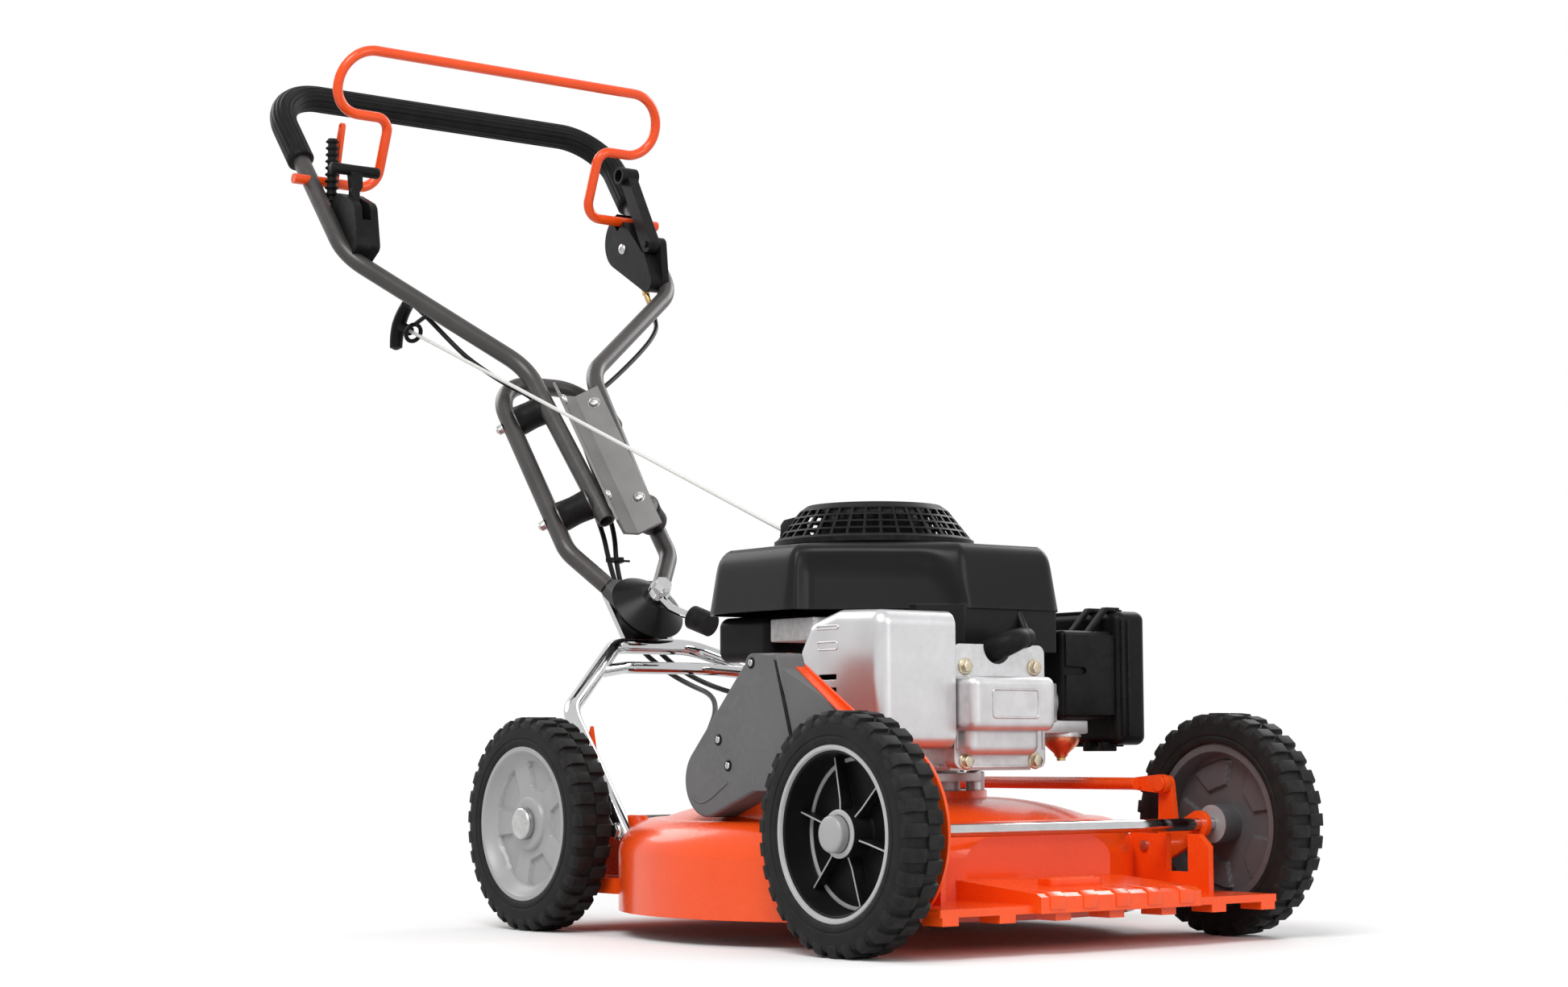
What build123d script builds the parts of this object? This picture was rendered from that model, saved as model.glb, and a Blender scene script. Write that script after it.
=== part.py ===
from build123d import *
import os
from math import atan2, cos, degrees, pi, radians, sin, tan

os.makedirs("parts", exist_ok=True)

# Push lawn mower, millimetres. -Y is the front, -X the operator's right, +Z up.
# The origin lies on the floor under the crankshaft, midway between the axles.

# Wheels and axles
wheel_r = 105.0
tread_depth = 3.0
tyre_width = 42.0
rim_r = 76.0
track_half = 231.0
axle_y = 247.0
axle_z = 105.0
axle_r = 6.0
running_gap = 0.05
body_gap = 0.3
axle_half_length = 250.0
cap_r = 16.0
tread_count = 31
lug_share = 0.54

# Height adjustment: each axle swings on two short arms
arm_length = 45.0
arm_angle = 26.57
height_swing = 42.0
arm_thickness = 6.0
near_arm_x = 178.0
far_arm_x = 196.0
pivot_pin_r = 5.0
sleeve_r = 9.0
link_r = 6.0
link_rivet_r = 4.0
link_rivet_dy = 2.0
link_rivet_dz = 58.0
bracket_x = 160.0
bracket_thickness = 6.0
bracket_top_z = 97.0

# Final drive in the near front wheel
gear_module = 2.0
ring_teeth = 60
pinion_teeth = 15
pinion_shaft_r = 5.0

# Deck
deck_r = 250.0
deck_wall = 2.5
rim_z = 24.0
shoulder_z = 80.0
deck_top_z = 131.0
boss_r = 108.0
boss_z = 137.0
crank_hole_r = 30.0
axle_flat_y = 234.0
axle_ledge_z = 60.0
apron_half_width = 203.0
apron_front_y = -333.0
apron_z = 43.0
sheet = 3.0
lip_half_width = 97.0
lip_front_y = -341.0
lip_rear_y = -220.0
lip_rear_z = 62.0
rear_flange_y = 325.0
rear_flange_z = 53.0
tooth_count = 7
tooth_pitch = 64.0

# Transmission casing
housing_outer_x = -192.0
housing_inner_x = -189.0
cover_thick_x = -222.0
cover_wall = 2.5
fold_top = (-131.0, 256.0)
fold_low = (-150.5, 196.0)
facet_end = (-197.0, -196.0, 212.0)
shield_r = 84.0

# Engine
head_x = 0.5
head_z = 209.0
head_face_y = -190.0
head_bolt_dx = 85.0
head_bolt_dz = 86.5
head_plate_z = (159.0, 273.0)
flange_r = 104.0
flange_z = (146.0, 154.0)
mount_bolt_r = 97.0
shroud_z = 308.0
shroud_height = 66.0
grille_r = 98.0
grille_bars = 36
guard_outer_x = -148.0
guard_inner_x = -60.0
guard_wall = 2.5
grille_top_z = 414.0
crank_r = 12.0
blade_r = 240.0
blade_z = 34.0

# Handle, drawn in its own plane: x across, s up along the tubes, n to the front
handle_tilt = 52.0
stud = (0.0, 374.0, 345.0)
bar_r = 10.0
tube_wall = 2.0
bar_n = 9.0
loop_n = -28.0
loop_half_width = 68.0
damper_s = (129.0, 275.0)
damper_r = 17.0
crossbar_s = 770.0
grip_end_s = 648.0
grip_r = 15.5
bail_r = 6.0
bail_pivot = (612.0, 12.0)
bail_lean = 60.0
frame_r = 8.5
brace_r = 6.5
cable_r = 2.8
rope_r = 2.0

pivot_dy = arm_length * cos(radians(arm_angle))
pivot_z = axle_z - arm_length * sin(radians(arm_angle))
front_pivot = (-axle_y + pivot_dy, pivot_z)
rear_pivot = (axle_y + pivot_dy, pivot_z)
front_axle = (-axle_y, axle_z)
rear_axle = (axle_y, axle_z)
handle_plane = Plane(
    origin=stud,
    x_dir=(1, 0, 0),
    z_dir=(0, -sin(radians(handle_tilt)), cos(radians(handle_tilt))),
)

nodes = {}


def solid_of(shape):
    """One compound of the solids in a shape or a list of shapes."""
    items = shape if isinstance(shape, list) else [shape]
    return Compound(children=[s for item in items for s in item.solids()])


def rod(start, end, radius):
    line = Vector(*end) - Vector(*start)
    return Solid.make_cylinder(radius, line.length, Plane(origin=start, z_dir=line))


def rod_x(x0, x1, centre, radius):
    return rod((min(x0, x1), *centre), (max(x0, x1), *centre), radius)


def block(x0, x1, y0, y1, z0, z1):
    centre = ((x0 + x1) / 2, (y0 + y1) / 2, (z0 + z1) / 2)
    return Pos(*centre) * Box(x1 - x0, y1 - y0, z1 - z0)


def rounded_block(x0, x1, y0, y1, z0, z1, radius):
    shape = block(x0, x1, y0, y1, z0, z1)
    return fillet(shape.edges(), radius)


def profile_x(outline, x0, x1):
    """A closed outline of (y, z) points extruded along X."""
    face = make_face(Polyline(*outline, close=True))
    return extrude(Plane.YZ.offset(min(x0, x1)) * face, abs(x1 - x0))


def sketch_x(sketch, x0, x1):
    return extrude(Plane.YZ.offset(min(x0, x1)) * sketch, abs(x1 - x0))


def turned(outline):
    """A closed outline of (x, radius) points turned about the X axis."""
    return revolve(make_face(Polyline(*outline, close=True)), Axis.X)


def swept(path, radius, wall=0):
    section = Circle(radius)
    if wall:
        section -= Circle(radius - wall)
    return sweep(Plane(origin=path @ 0, z_dir=path % 0) * section, path=path)


def hull_of(circles):
    """The tight outline around (y, z, radius) circles."""
    edges = [CenterArc((y, z), r, 0, 360) for y, z, r in circles]
    return make_hull(edges)


# Wheels: built with the outer side towards +X, then set on their axles
def make_tyre():
    half = tyre_width / 2
    body_r = wheel_r - tread_depth
    carcass = turned([
        (-half + 2, rim_r), (-half, rim_r + 5), (-half, body_r - 6), (-half + 4, body_r),
        (half - 4, body_r), (half, body_r - 6), (half, rim_r + 5), (half - 2, rim_r),
    ])
    step = 360 / tread_count
    block_width = 2 * wheel_r * tan(radians(step * lug_share / 2))
    blocks = []
    for row in (-1, 1):
        for i in range(tread_count):
            angle = step * i + (step / 2 if row > 0 else 0)
            lug = Pos(row * half / 2, 0, body_r + tread_depth / 2 - 0.5)
            lug *= Box(half - 1.0, block_width, tread_depth + 1)
            blocks.append(Rot(angle, 0, 0) * lug)
    return carcass + blocks


def make_rim():
    rim = turned([
        (20, rim_r), (20, 70.5), (16, 69), (10, 63), (9, 62), (9, 27), (13, 26), (14, 17),
        (14, axle_r + running_gap), (-22, axle_r + running_gap), (-22, 18), (4, 18),
        (4, 66), (-17, 69), (-17, rim_r),
    ])
    pocket = Polyline((-8, 31), (8, 31), (17, 57), (-17, 57), close=True)
    pocket = sketch_x(make_face(pocket), 6, 12)
    return rim - [Rot(72 * i, 0, 0) * pocket for i in range(5)]


def gear_teeth(count, pitch_r, tip_r, root_r, x0, x1):
    """Straight-sided teeth with room to run, from root to tip, one on the +Z line."""
    depth = 1 if tip_r > root_r else -1
    flank = [(1.5, root_r - depth), (1.5, root_r), (1.1, pitch_r), (0.55, tip_r)]
    tooth = profile_x(flank + [(-y, z) for y, z in reversed(flank)], x0, x1)
    return [Rot(360 / count * i, 0, 0) * tooth for i in range(count)]


def make_drive_rim():
    barrel_r = 69.0
    web = (-9.0, -5.0)
    gear_pitch_r = gear_module * ring_teeth / 2
    root_r = gear_pitch_r + 1.25 * gear_module
    rim = turned([
        (20, rim_r), (20, 70), (17, barrel_r), (web[1], barrel_r - 2), (web[1], 19), (10, 19), (12, 17),
        (12, axle_r + running_gap), (-20, axle_r + running_gap), (-20, 14), (web[0], 14), (web[0], root_r),
        (-20, root_r), (-20, rim_r),
    ])
    ribs = []
    for i in range(6):
        rib = block(web[1] - 1, 2, -1.2, 1.2, 18, barrel_r - 1)
        ribs.append(Rot(60 * i, 0, 0) * rib)
    teeth = gear_teeth(ring_teeth, gear_pitch_r, gear_pitch_r - 1.6, root_r, -20, web[0] + 0.5)
    return rim + ribs + teeth


def set_wheel(shape, side, axle):
    turn = Rot(0, 0, 180) if side < 0 else Rot(0, 0, 0)
    return Pos(side * track_half, *axle) * turn * shape


tyre = make_tyre()
rim = make_rim()
mesh_angle = degrees(atan2(front_pivot[1] - front_axle[1], front_pivot[0] - front_axle[0]))
ring_step = 360 / ring_teeth
drive_rim = Rot(-(mesh_angle - 90) + ring_step / 2, 0, 0) * make_drive_rim()
for name, side, axle in (
    ("front_right", -1, front_axle), ("front_left", 1, front_axle),
    ("rear_right", -1, rear_axle), ("rear_left", 1, rear_axle),
):
    nodes[f"tyre_{name}"] = set_wheel(tyre, side, axle)
    nodes[f"rim_{name}"] = set_wheel(drive_rim if name == "front_right" else rim, side, axle)

pinion_pitch_r = gear_module * pinion_teeth / 2
pinion_x = (-220.5, -212.0)
pinion = rod_x(*pinion_x, (0, 0), pinion_pitch_r - 1.25 * gear_module)
pinion += gear_teeth(pinion_teeth, pinion_pitch_r, pinion_pitch_r + 1.6, pinion_pitch_r - 2.5, *pinion_x)
pinion = Rot(mesh_angle - 90, 0, 0) * pinion
pinion += rod_x(pinion_x[1], -150, (0, 0), pinion_shaft_r)
nodes["drive_pinion"] = Pos(0, *front_pivot) * pinion


# Axles, arms, caps and the link that ties front and rear together
def make_axle(centre):
    shaft = rod_x(-axle_half_length, axle_half_length, centre, axle_r)
    caps = []
    for side in (-1, 1):
        outer = side * (axle_half_length + 4)
        hub_face = 12 if side < 0 and centre == front_axle else 14
        inner = side * (track_half + hub_face + 0.5)
        cap = rod_x(inner, outer, centre, cap_r)
        rims = cap.edges().filter_by(GeomType.CIRCLE).sort_by(Axis.X)
        cap = chamfer(rims[0 if side < 0 else -1], 2)
        caps.append(cap - shaft)
    return shaft, caps


def arm_outline(pivot, axle, bell):
    eye = 13.0
    circles = [(*pivot, eye), (*axle, eye)]
    plate = hull_of(circles)
    if bell:
        rivet = (pivot[0] + link_rivet_dy, pivot[1] + link_rivet_dz)
        plate += hull_of([(*pivot, eye), (*rivet, 8.0)])
    return plate


def make_arm(x0, x1, pivot, axle, hole_r, bell=False):
    plate = sketch_x(arm_outline(pivot, axle, bell), x0, x1)
    plate -= rod_x(x0 - 1, x1 + 1, pivot, hole_r + running_gap)
    plate -= rod_x(x0 - 1, x1 + 1, axle, axle_r)
    if bell:
        rivet = (pivot[0] + link_rivet_dy, pivot[1] + link_rivet_dz)
        plate += rod_x(x0 - 7, x0, rivet, link_rivet_r)
        plate += rod_x(x0 - 9.5, x0 - 7, rivet, 1.8 * link_rivet_r)
    return plate


for end, pivot, axle in (("front", front_pivot, front_axle), ("rear", rear_pivot, rear_axle)):
    shaft, caps = make_axle(axle)
    near_hole = sleeve_r if end == "front" else pivot_pin_r
    near = make_arm(-near_arm_x, -near_arm_x + arm_thickness, pivot, axle, near_hole)
    far = make_arm(far_arm_x - arm_thickness, far_arm_x, pivot, axle, pivot_pin_r, bell=True)
    nodes[f"{end}_axle"] = shaft
    nodes[f"{end}_axle_caps"] = caps
    nodes[f"{end}_axle_arms"] = [near, far]

link_x = far_arm_x - arm_thickness - body_gap
eye_thickness = 6.0
link_ends = []
for pivot in (front_pivot, rear_pivot):
    link_ends.append((pivot[0] + link_rivet_dy, pivot[1] + link_rivet_dz))
neck = 26.0
tube_x = link_x - eye_thickness - link_r + 0.5
link_z = link_ends[0][1]
link = rod((tube_x, link_ends[0][0] + neck, link_z), (tube_x, link_ends[1][0] - neck, link_z), link_r)
for index, (y, z) in enumerate(link_ends):
    inward = neck + 8 if index == 0 else -neck - 8
    eye = sketch_x(hull_of([(y, z, 9), (y + inward, z, 6)]), link_x - eye_thickness, link_x)
    hole_gap = running_gap if index == 0 else body_gap
    link = link + eye
    link -= rod_x(link_x - 20, link_x + 5, (y, z), link_rivet_r + hole_gap)
nodes["height_link"] = link

lever_base = [
    (rear_pivot[0] + 9, rear_pivot[1] - 11), (rear_pivot[0] + 11, rear_pivot[1] + 9),
    (240, 172), (228, 201), (222, 176), (236, 150), (rear_pivot[0] - 13, rear_pivot[1] - 4),
]
lever = profile_x(lever_base, -near_arm_x - 4, -near_arm_x)
lever -= rod_x(-near_arm_x - 6, -near_arm_x + 1, rear_pivot, pivot_pin_r + running_gap)
nodes["height_lever"] = lever

pins = []
for side, pivot in ((1, front_pivot), (-1, rear_pivot), (1, rear_pivot)):
    reach = near_arm_x + 6 if side < 0 else far_arm_x + 2
    pins.append(rod_x(side * (bracket_x - 2), side * reach, pivot, pivot_pin_r))
sleeve = rod_x(-bracket_x + 2, -near_arm_x - 2, front_pivot, sleeve_r)
pins.append(sleeve - rod_x(-bracket_x + 5, -near_arm_x - 5, front_pivot, pinion_shaft_r + running_gap))
nodes["arm_pivots"] = pins


# Deck: a pressed dome with a front apron, rear flange and axle brackets
def dome(inset):
    """The dome's outside, or its cavity when inset by the sheet's thickness."""
    r = deck_r - inset
    top = deck_top_z - inset
    lines = [
        Line((0, 0), (r, 0)), Line((r, 0), (r, shoulder_z)),
        ThreePointArc((r, shoulder_z), (r - 10, 101 - inset), (208 - inset / 2, 111 - inset)),
        ThreePointArc((208 - inset / 2, 111 - inset), (168, 123 - inset), (115, 130 - inset)),
        Line((115, 130 - inset), (60, top)), Line((60, top), (0, top)), Line((0, top), (0, 0)),
    ]
    shape = revolve(Plane.XZ * make_face(lines), Axis.Z)
    for side in (-1, 1):
        flat_y = axle_flat_y - inset
        channel = sorted((side * flat_y, side * (deck_r + 20)))
        shape -= block(-deck_r, deck_r, *channel, axle_ledge_z - inset, deck_top_z)
    return shape


dome_solid = dome(0)
cavity = dome(deck_wall)
floor_cut = block(-400, 400, -400, 400, -1, rim_z)
deck = dome_solid + Pos(0, 0, (deck_top_z - 4 + boss_z) / 2) * Cylinder(boss_r, boss_z - deck_top_z + 4)

apron = block(-apron_half_width, apron_half_width, apron_front_y, -150, apron_z - sheet, apron_z)
apron += block(-apron_half_width, apron_half_width, apron_front_y, apron_front_y + sheet, 36, apron_z)
for i in range(tooth_count):
    x = (i - (tooth_count - 1) / 2) * tooth_pitch
    apron += block(x - 9, x + 9, apron_front_y, apron_front_y + 26, 29, apron_z - sheet)
lip = [
    (lip_front_y, 36), (lip_front_y, 50), (lip_front_y + 6, 53), (lip_rear_y, lip_rear_z),
    (lip_rear_y, lip_rear_z - 4), (lip_front_y + 8, 49), (lip_front_y + 3, 47), (lip_front_y + 3, 36),
]
apron += profile_x(lip, -lip_half_width, lip_half_width)
cheek = lip[:4] + [(lip_rear_y, 40)]
for side in (-1, 1):
    apron += profile_x(cheek, side * lip_half_width, side * (lip_half_width - sheet))

flange = block(-apron_half_width, apron_half_width, 150, rear_flange_y, rear_flange_z - sheet, rear_flange_z)
flange += block(-apron_half_width, apron_half_width, rear_flange_y - sheet, rear_flange_y, 38, rear_flange_z)
for side in (-1, 1):
    skirt = sorted((side * apron_half_width, side * (apron_half_width - sheet)))
    flange += block(*skirt, 150, rear_flange_y, 38, rear_flange_z)


def bracket(axle_y_at_rest, y0, y1, base_z):
    """A plate across the swing of an axle, with a U-shaped notch for it."""
    notch = (axle_y_at_rest - 16, axle_y_at_rest + 11)
    return [
        (y0, base_z), (y0, 86), (y0 + 12, bracket_top_z), (notch[0], bracket_top_z), (notch[0], 62),
        (notch[1], 62), (notch[1], bracket_top_z), (y1 - 8, bracket_top_z), (y1, 88), (y1, base_z),
    ]


fittings = []
foot_plate = [(118, 80), (118, 106), (126, 114), (152, 114), (160, 106), (160, 80)]
for side in (-1, 1):
    x0 = side * bracket_x
    x1 = side * (bracket_x + bracket_thickness)
    fittings.append(profile_x(bracket(-axle_y, -290, -180, apron_z - 1), x0, x1))
    fittings.append(profile_x(bracket(axle_y, 180, 308, rear_flange_z - 1), x0, x1))
    fittings.append(profile_x(foot_plate, side * 184, side * 187.5))
deck = deck + apron + flange + fittings
deck -= [cavity, floor_cut, Pos(0, 0, 130) * Cylinder(crank_hole_r, 40)]
for side, pivot, radius in (
    (-1, front_pivot, sleeve_r), (1, front_pivot, pivot_pin_r),
    (-1, rear_pivot, pivot_pin_r), (1, rear_pivot, pivot_pin_r),
):
    deck -= rod_x(side * (bracket_x - 3), side * (bracket_x + bracket_thickness + 1), pivot, radius)


# Transmission casing on the near side
lobe = (-25.0, 149.0, 34.0)
crown = (-98.0, 251.5, 12.0)
swing_arc = CenterArc((0, 0), arm_length, 180 - arm_angle - 4, height_swing + 8)
slot_cut = sketch_x(Pos(*front_pivot) * SlotArc(swing_arc, 22), -240, -180)
plate = hull_of([lobe, crown, (-112, 252, 12), (-206, 196, 12), (-150, 120, 12)])
plate += Pos(*front_axle) * Circle(shield_r)
plate += make_face(Polyline((-150, 90), (-40, 90), (-25, 150), (-200, 150), close=True))
housing = sketch_x(plate, housing_outer_x, housing_inner_x) - slot_cut - dome_solid
housing -= rod_x(housing_outer_x - 1, housing_inner_x + 1, front_pivot, sleeve_r + 1)
housing -= [deck, block(-300, 0, -400, 400, 0, apron_z)]
nodes["transmission_housing"] = housing

fold_start = Vector(cover_thick_x + 1, *fold_top)
fold_run = Vector(cover_thick_x + 1, *fold_low) - fold_start
facet_plane = Plane(origin=fold_start, z_dir=fold_run.cross(Vector(*facet_end) - fold_start))


def facet_cut(depth):
    """Everything outside the cover's sloping front facet, moved inwards by depth."""
    return facet_plane.offset(-depth) * Box(500, 500, 200, align=(Align.CENTER, Align.CENTER, Align.MIN))


flat_face = hull_of([lobe, crown, (-128, 257, 6), (-144, 199, 6), (-100, 152, 12)])
facet = hull_of([crown, (-113, 250, 12), (-204, 195, 9), (-186, 150, 10), (-100, 152, 12)])
cover = sketch_x(flat_face, housing_outer_x, cover_thick_x)
cover = fillet(cover.faces().sort_by(Axis.X)[0].edges(), 3)
cover += sketch_x(facet, housing_outer_x, cover_thick_x) - facet_cut(0)
hollow = sketch_x(offset(facet, -cover_wall), housing_outer_x, cover_thick_x + cover_wall)
hollow -= facet_cut(cover_wall)
hollow += sketch_x(offset(flat_face, -cover_wall - 1), housing_outer_x, cover_thick_x + cover_wall)
hollow -= rod_x(-260, -204.5, front_axle, wheel_r + 7)
cover -= rod_x(-260, -207.5, front_axle, wheel_r + 4)
cover = cover - hollow - slot_cut - dome_solid
case_outline = hull_of([(-25, 149, 26), (-97, 238, 12), (-120, 234, 10), (-174, 184, 8)])
case_outline += hull_of([(-60, 165, 15), (*front_pivot, 17), (-150, 180, 15)])
gearcase = sketch_x(case_outline, housing_outer_x, housing_outer_x - 10) - slot_cut - dome_solid
gearcase -= rod_x(-240, -150, front_pivot, pinion_shaft_r + running_gap)
cover -= sketch_x(offset(case_outline, 0.5), housing_outer_x + 1, housing_outer_x - 10.5)
nodes["drive_gearcase"] = gearcase
cover_screws = []
for y, z in ((-45, 186), (-60, 162.5), (-95.5, 255)):
    screw = rod_x(cover_thick_x - 2.5, cover_thick_x + 4, (y, z), 4.5)
    cover_screws.append(screw - rod_x(cover_thick_x - 3, cover_thick_x - 1, (y, z), 2))
cover -= cover_screws
nodes["transmission_cover"] = cover


# Chrome handle frame: one bent tube with a brace and the plate that carries the stud
def local(x, s, n):
    return handle_plane.from_local_coords(Vector(x, s, n))


frame_points = [
    (-196, 140, 92), (-196, 245, 216), (-50, 381, 289), (50, 381, 289), (196, 245, 216), (196, 140, 92)]
frame_path = FilletPolyline(*frame_points, radius=[42, 40, 40, 42])
frame = swept(frame_path, frame_r, tube_wall)
brace_points = [(-112, 323, 258), (-52, 358, 265), (52, 358, 265), (112, 323, 258)]
brace = swept(FilletPolyline(*brace_points, radius=40), brace_r)
solid_frame = swept(frame_path, frame_r)
clamp_plate = handle_plane * (Pos(0, -2, -43) * Box(64, 76, 6))
clamp_plate = clamp_plate - solid_frame
stud_rod = handle_plane * (Pos(0, 0, -15) * Cylinder(6, 62))
frame = frame + (brace - solid_frame) + (clamp_plate - stud_rod) + stud_rod
foot_bolts = []
for side in (-1, 1):
    bolt = rod_x(side * 181, side * 208, (146, 99), 4) + rod_x(side * 204.5, side * 209, (146, 99), 7)
    foot_bolts.append(bolt)
frame -= foot_bolts
deck -= foot_bolts
deck -= solid_frame
nodes["deck_shell"] = deck
nodes["handle_frame"] = frame

lower_disc = Pos(0, 0, -37.15) * Cylinder(30, 5.7)
upper_disc = Pos(0, 0, -21.7) * Cone(43, 17, 19.7, align=(Align.CENTER, Align.CENTER, Align.MIN))
bore = Pos(0, 0, -15) * Cylinder(6, 80)
nodes["swivel_discs"] = [handle_plane * (lower_disc - bore), handle_plane * (upper_disc - bore)]

# Clamp lever on the stud: a tee nut, a cranked rod and a plastic cap
tee = Pos(0, 0, 4) * Cylinder(12, 11.4)
tee = tee - Pos(0, 0, 0) * Cylinder(6 + running_gap, 60)
tee += Pos(0, 0, 9.7) * extrude(RegularPolygon(9.5, 6), 10) - Pos(0, 0, 5) * Cylinder(6.05, 24)
lever_path = FilletPolyline((0, -9, 5), (4, -26, 8), (12, -52, 24), radius=10)
clamp_rod = swept(lever_path, 4.5) - Pos(0, 0, 4) * Cylinder(11.9, 11)
cap_dir = Vector(8, -26, 16).normalized()
cap_start = Vector(12, -52, 24)
clamp_cap = Solid.make_cylinder(13, 26, Plane(origin=cap_start, z_dir=cap_dir))
nodes["clamp_lever"] = handle_plane * (tee + clamp_rod)
nodes["clamp_lever_cap"] = handle_plane * clamp_cap

# Handle loop with its hub, the bar above it and the grip
loop_points = [(-36, 36), (-loop_half_width, 84), (-loop_half_width, 342)]
loop_points += [(-x, s) for x, s in reversed(loop_points)]
loop_path = FilletPolyline(*[(x, s, loop_n) for x, s in loop_points], radius=[34, 52, 52, 34])
loop = swept(loop_path, bar_r, tube_wall)
loop_solid = swept(loop_path, bar_r)
hub = Pos(0, 0, loop_n - 6) * extrude(hull_of([(0, 0, 26), (-32, 30, 10), (32, 30, 10)]), 12)
loop = loop + (hub - loop_solid - Cylinder(6 + running_gap, 200))

bar_points = [(30, 98), (44, 331), (225, 492), (236, crossbar_s)]
bar_points = [(-x, s) for x, s in bar_points] + [(x, s) for x, s in reversed(bar_points)]
bar_path = FilletPolyline(*[(x, s, bar_n) for x, s in bar_points], radius=[60, 60, 62, 62, 60, 60])
bar = swept(bar_path, bar_r, tube_wall)
bar_solid = swept(bar_path, bar_r)
grip_x = 225 + 11 * (grip_end_s - 492) / (crossbar_s - 492)
grip_points = [(-grip_x, grip_end_s), (-236, crossbar_s), (236, crossbar_s), (grip_x, grip_end_s)]
grip_path = FilletPolyline(*[(x, s, bar_n) for x, s in grip_points], radius=62)
grip = swept(grip_path, grip_r, grip_r - bar_r)

plate_half = [(9.9, 3), (31, 24.1), (28.9, 26.2), (8.7, 6)]
plate_section = plate_half + [(-x, n) for x, n in reversed(plate_half)]
v_plate = Plane.XZ * make_face(Polyline(*plate_section, close=True))
v_plate = Pos(0, 295, 0) * extrude(v_plate, 210)

damper_axis = Vector(loop_half_width - 30, 0, bar_n - loop_n)
damper_span = damper_axis.length
damper_axis = damper_axis.normalized()
damper_inset = 8.0
dampers = []
damper_bolts = []
for side in (-1, 1):
    axis = Vector(-side * damper_axis.X, 0, damper_axis.Z)
    for s in damper_s:
        foot = Vector(side * loop_half_width, s, loop_n)
        saddle = Plane(origin=foot + axis * damper_inset, z_dir=axis)
        dampers.append(Solid.make_cylinder(damper_r, damper_span - 2 * damper_inset, saddle))
        plane = Plane(origin=foot - axis * 18, z_dir=axis)
        head = Plane(origin=foot + axis * (damper_span + 13.2), z_dir=axis)
        bolt = Solid.make_cylinder(3, damper_span + 32, plane)
        bolt += Solid.make_cylinder(6.5, 4, head)
        bolt += extrude(plane.offset(1.9) * RegularPolygon(6, 6), 6)
        damper_bolts.append(bolt)
dampers = [d - loop_solid - bar_solid - damper_bolts for d in dampers]
bail_hole = Pos(0, bail_pivot[0], bail_pivot[1]) * Rot(0, 90, 0) * Cylinder(bail_r + running_gap, 600)
nodes["handle_loop"] = handle_plane * (loop - damper_bolts)
nodes["handle_bar"] = handle_plane * (bar - damper_bolts - bail_hole)
nodes["grip_sleeve"] = handle_plane * grip
nodes["handle_plate"] = handle_plane * (v_plate - damper_bolts)
nodes["vibration_dampers"] = [handle_plane * d for d in dampers]

# Bail: a bent rod across the handle, with the cable arm at its near end
bail_points = [(254, 0), (147, 0), (147, 84), (221, 84), (221, 160)]
bail_points = [(-x, t) for x, t in bail_points] + [(x, t) for x, t in reversed(bail_points)]
bail_plane = Plane(
    origin=(0, *bail_pivot), x_dir=(1, 0, 0), z_dir=(0, -sin(radians(bail_lean)), cos(radians(bail_lean))))
bail_path = FilletPolyline(*[(x, t, 0) for x, t in bail_points], radius=[22, 16, 33, 42, 42, 33, 16, 22])
bail = bail_plane * swept(bail_path, bail_r)
arm = extrude(Plane.YZ.offset(-204) * hull_of([(*bail_pivot, 8), (650, 66, 5)]), 4)
arm -= Pos(-202, 650, 66) * Rot(0, 90, 0) * Cylinder(2.5, 20)
nodes["bail"] = handle_plane * (bail + arm)

boot_start = Vector(-214, 572, 3)
boot_end = Vector(-214, 638, 56)
boot_axis = (boot_end - boot_start).normalized()
boot_length = (boot_end - boot_start).length
boot_ribs = 11
rib_pitch = boot_length / boot_ribs
rings = []
for i in range(boot_ribs):
    for part, radius in ((0.0, 5.4), (0.3, 8.4), (0.6, 8.4), (0.9, 5.4)):
        rib_place = boot_start + boot_axis * (rib_pitch * (i + part))
        plane = Plane(origin=rib_place, x_dir=(1, 0, 0), z_dir=boot_axis)
        rings.append(plane * Circle(radius))
boot = loft(rings, ruled=True)
boot -= Solid.make_cylinder(2, boot_length, Plane(origin=boot_start, z_dir=boot_axis))
boot -= bar_solid
nodes["bail_boot"] = handle_plane * boot

# Controls on the handle
throttle_pivot = (530.0, 28.0)
throttle_case = hull_of([(496, 8, 10), (558, 2, 10), (558, 30, 10), (530, 40, 14), (492, 26, 8)])
throttle_case = extrude(Plane.YZ.offset(-221.5) * throttle_case, 30)
slot = extrude(Plane.YZ.offset(-212) * (Pos(*throttle_pivot) * Circle(32)), 11)
slot = slot & (Pos(-206.5, 558, 58) * Box(11, 90, 60))
throttle_case = throttle_case - slot - boot - bar_solid
stem = hull_of([(*throttle_pivot, 5.5), (584, 56, 5)])
throttle_lever = extrude(Plane.YZ.offset(-211) * stem, 9)
throttle_lever += Pos(-203, 585, 57) * Rot(0, 90, 0) * Cylinder(6.5, 62)
throttle_hole = Pos(-206.5, *throttle_pivot) * Rot(0, 90, 0)
throttle_case -= throttle_hole * Cylinder(3, 20)
throttle_sweep = hull_of([(*throttle_pivot, 7), (588, 58, 8)])
for turn in (0, 20, 40):
    swing = Pos(0, *throttle_pivot) * Rot(turn, 0, 0) * Pos(0, -throttle_pivot[0], -throttle_pivot[1])
    throttle_case -= swing * extrude(Plane.YZ.offset(-211.5) * throttle_sweep, 10)
throttle_lever -= throttle_hole * Cylinder(3 + running_gap, 40)
throttle_pin = throttle_hole * Cylinder(3, 14)
nodes["throttle_housing"] = handle_plane * (throttle_case + throttle_pin)
nodes["throttle_lever"] = handle_plane * throttle_lever

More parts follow.
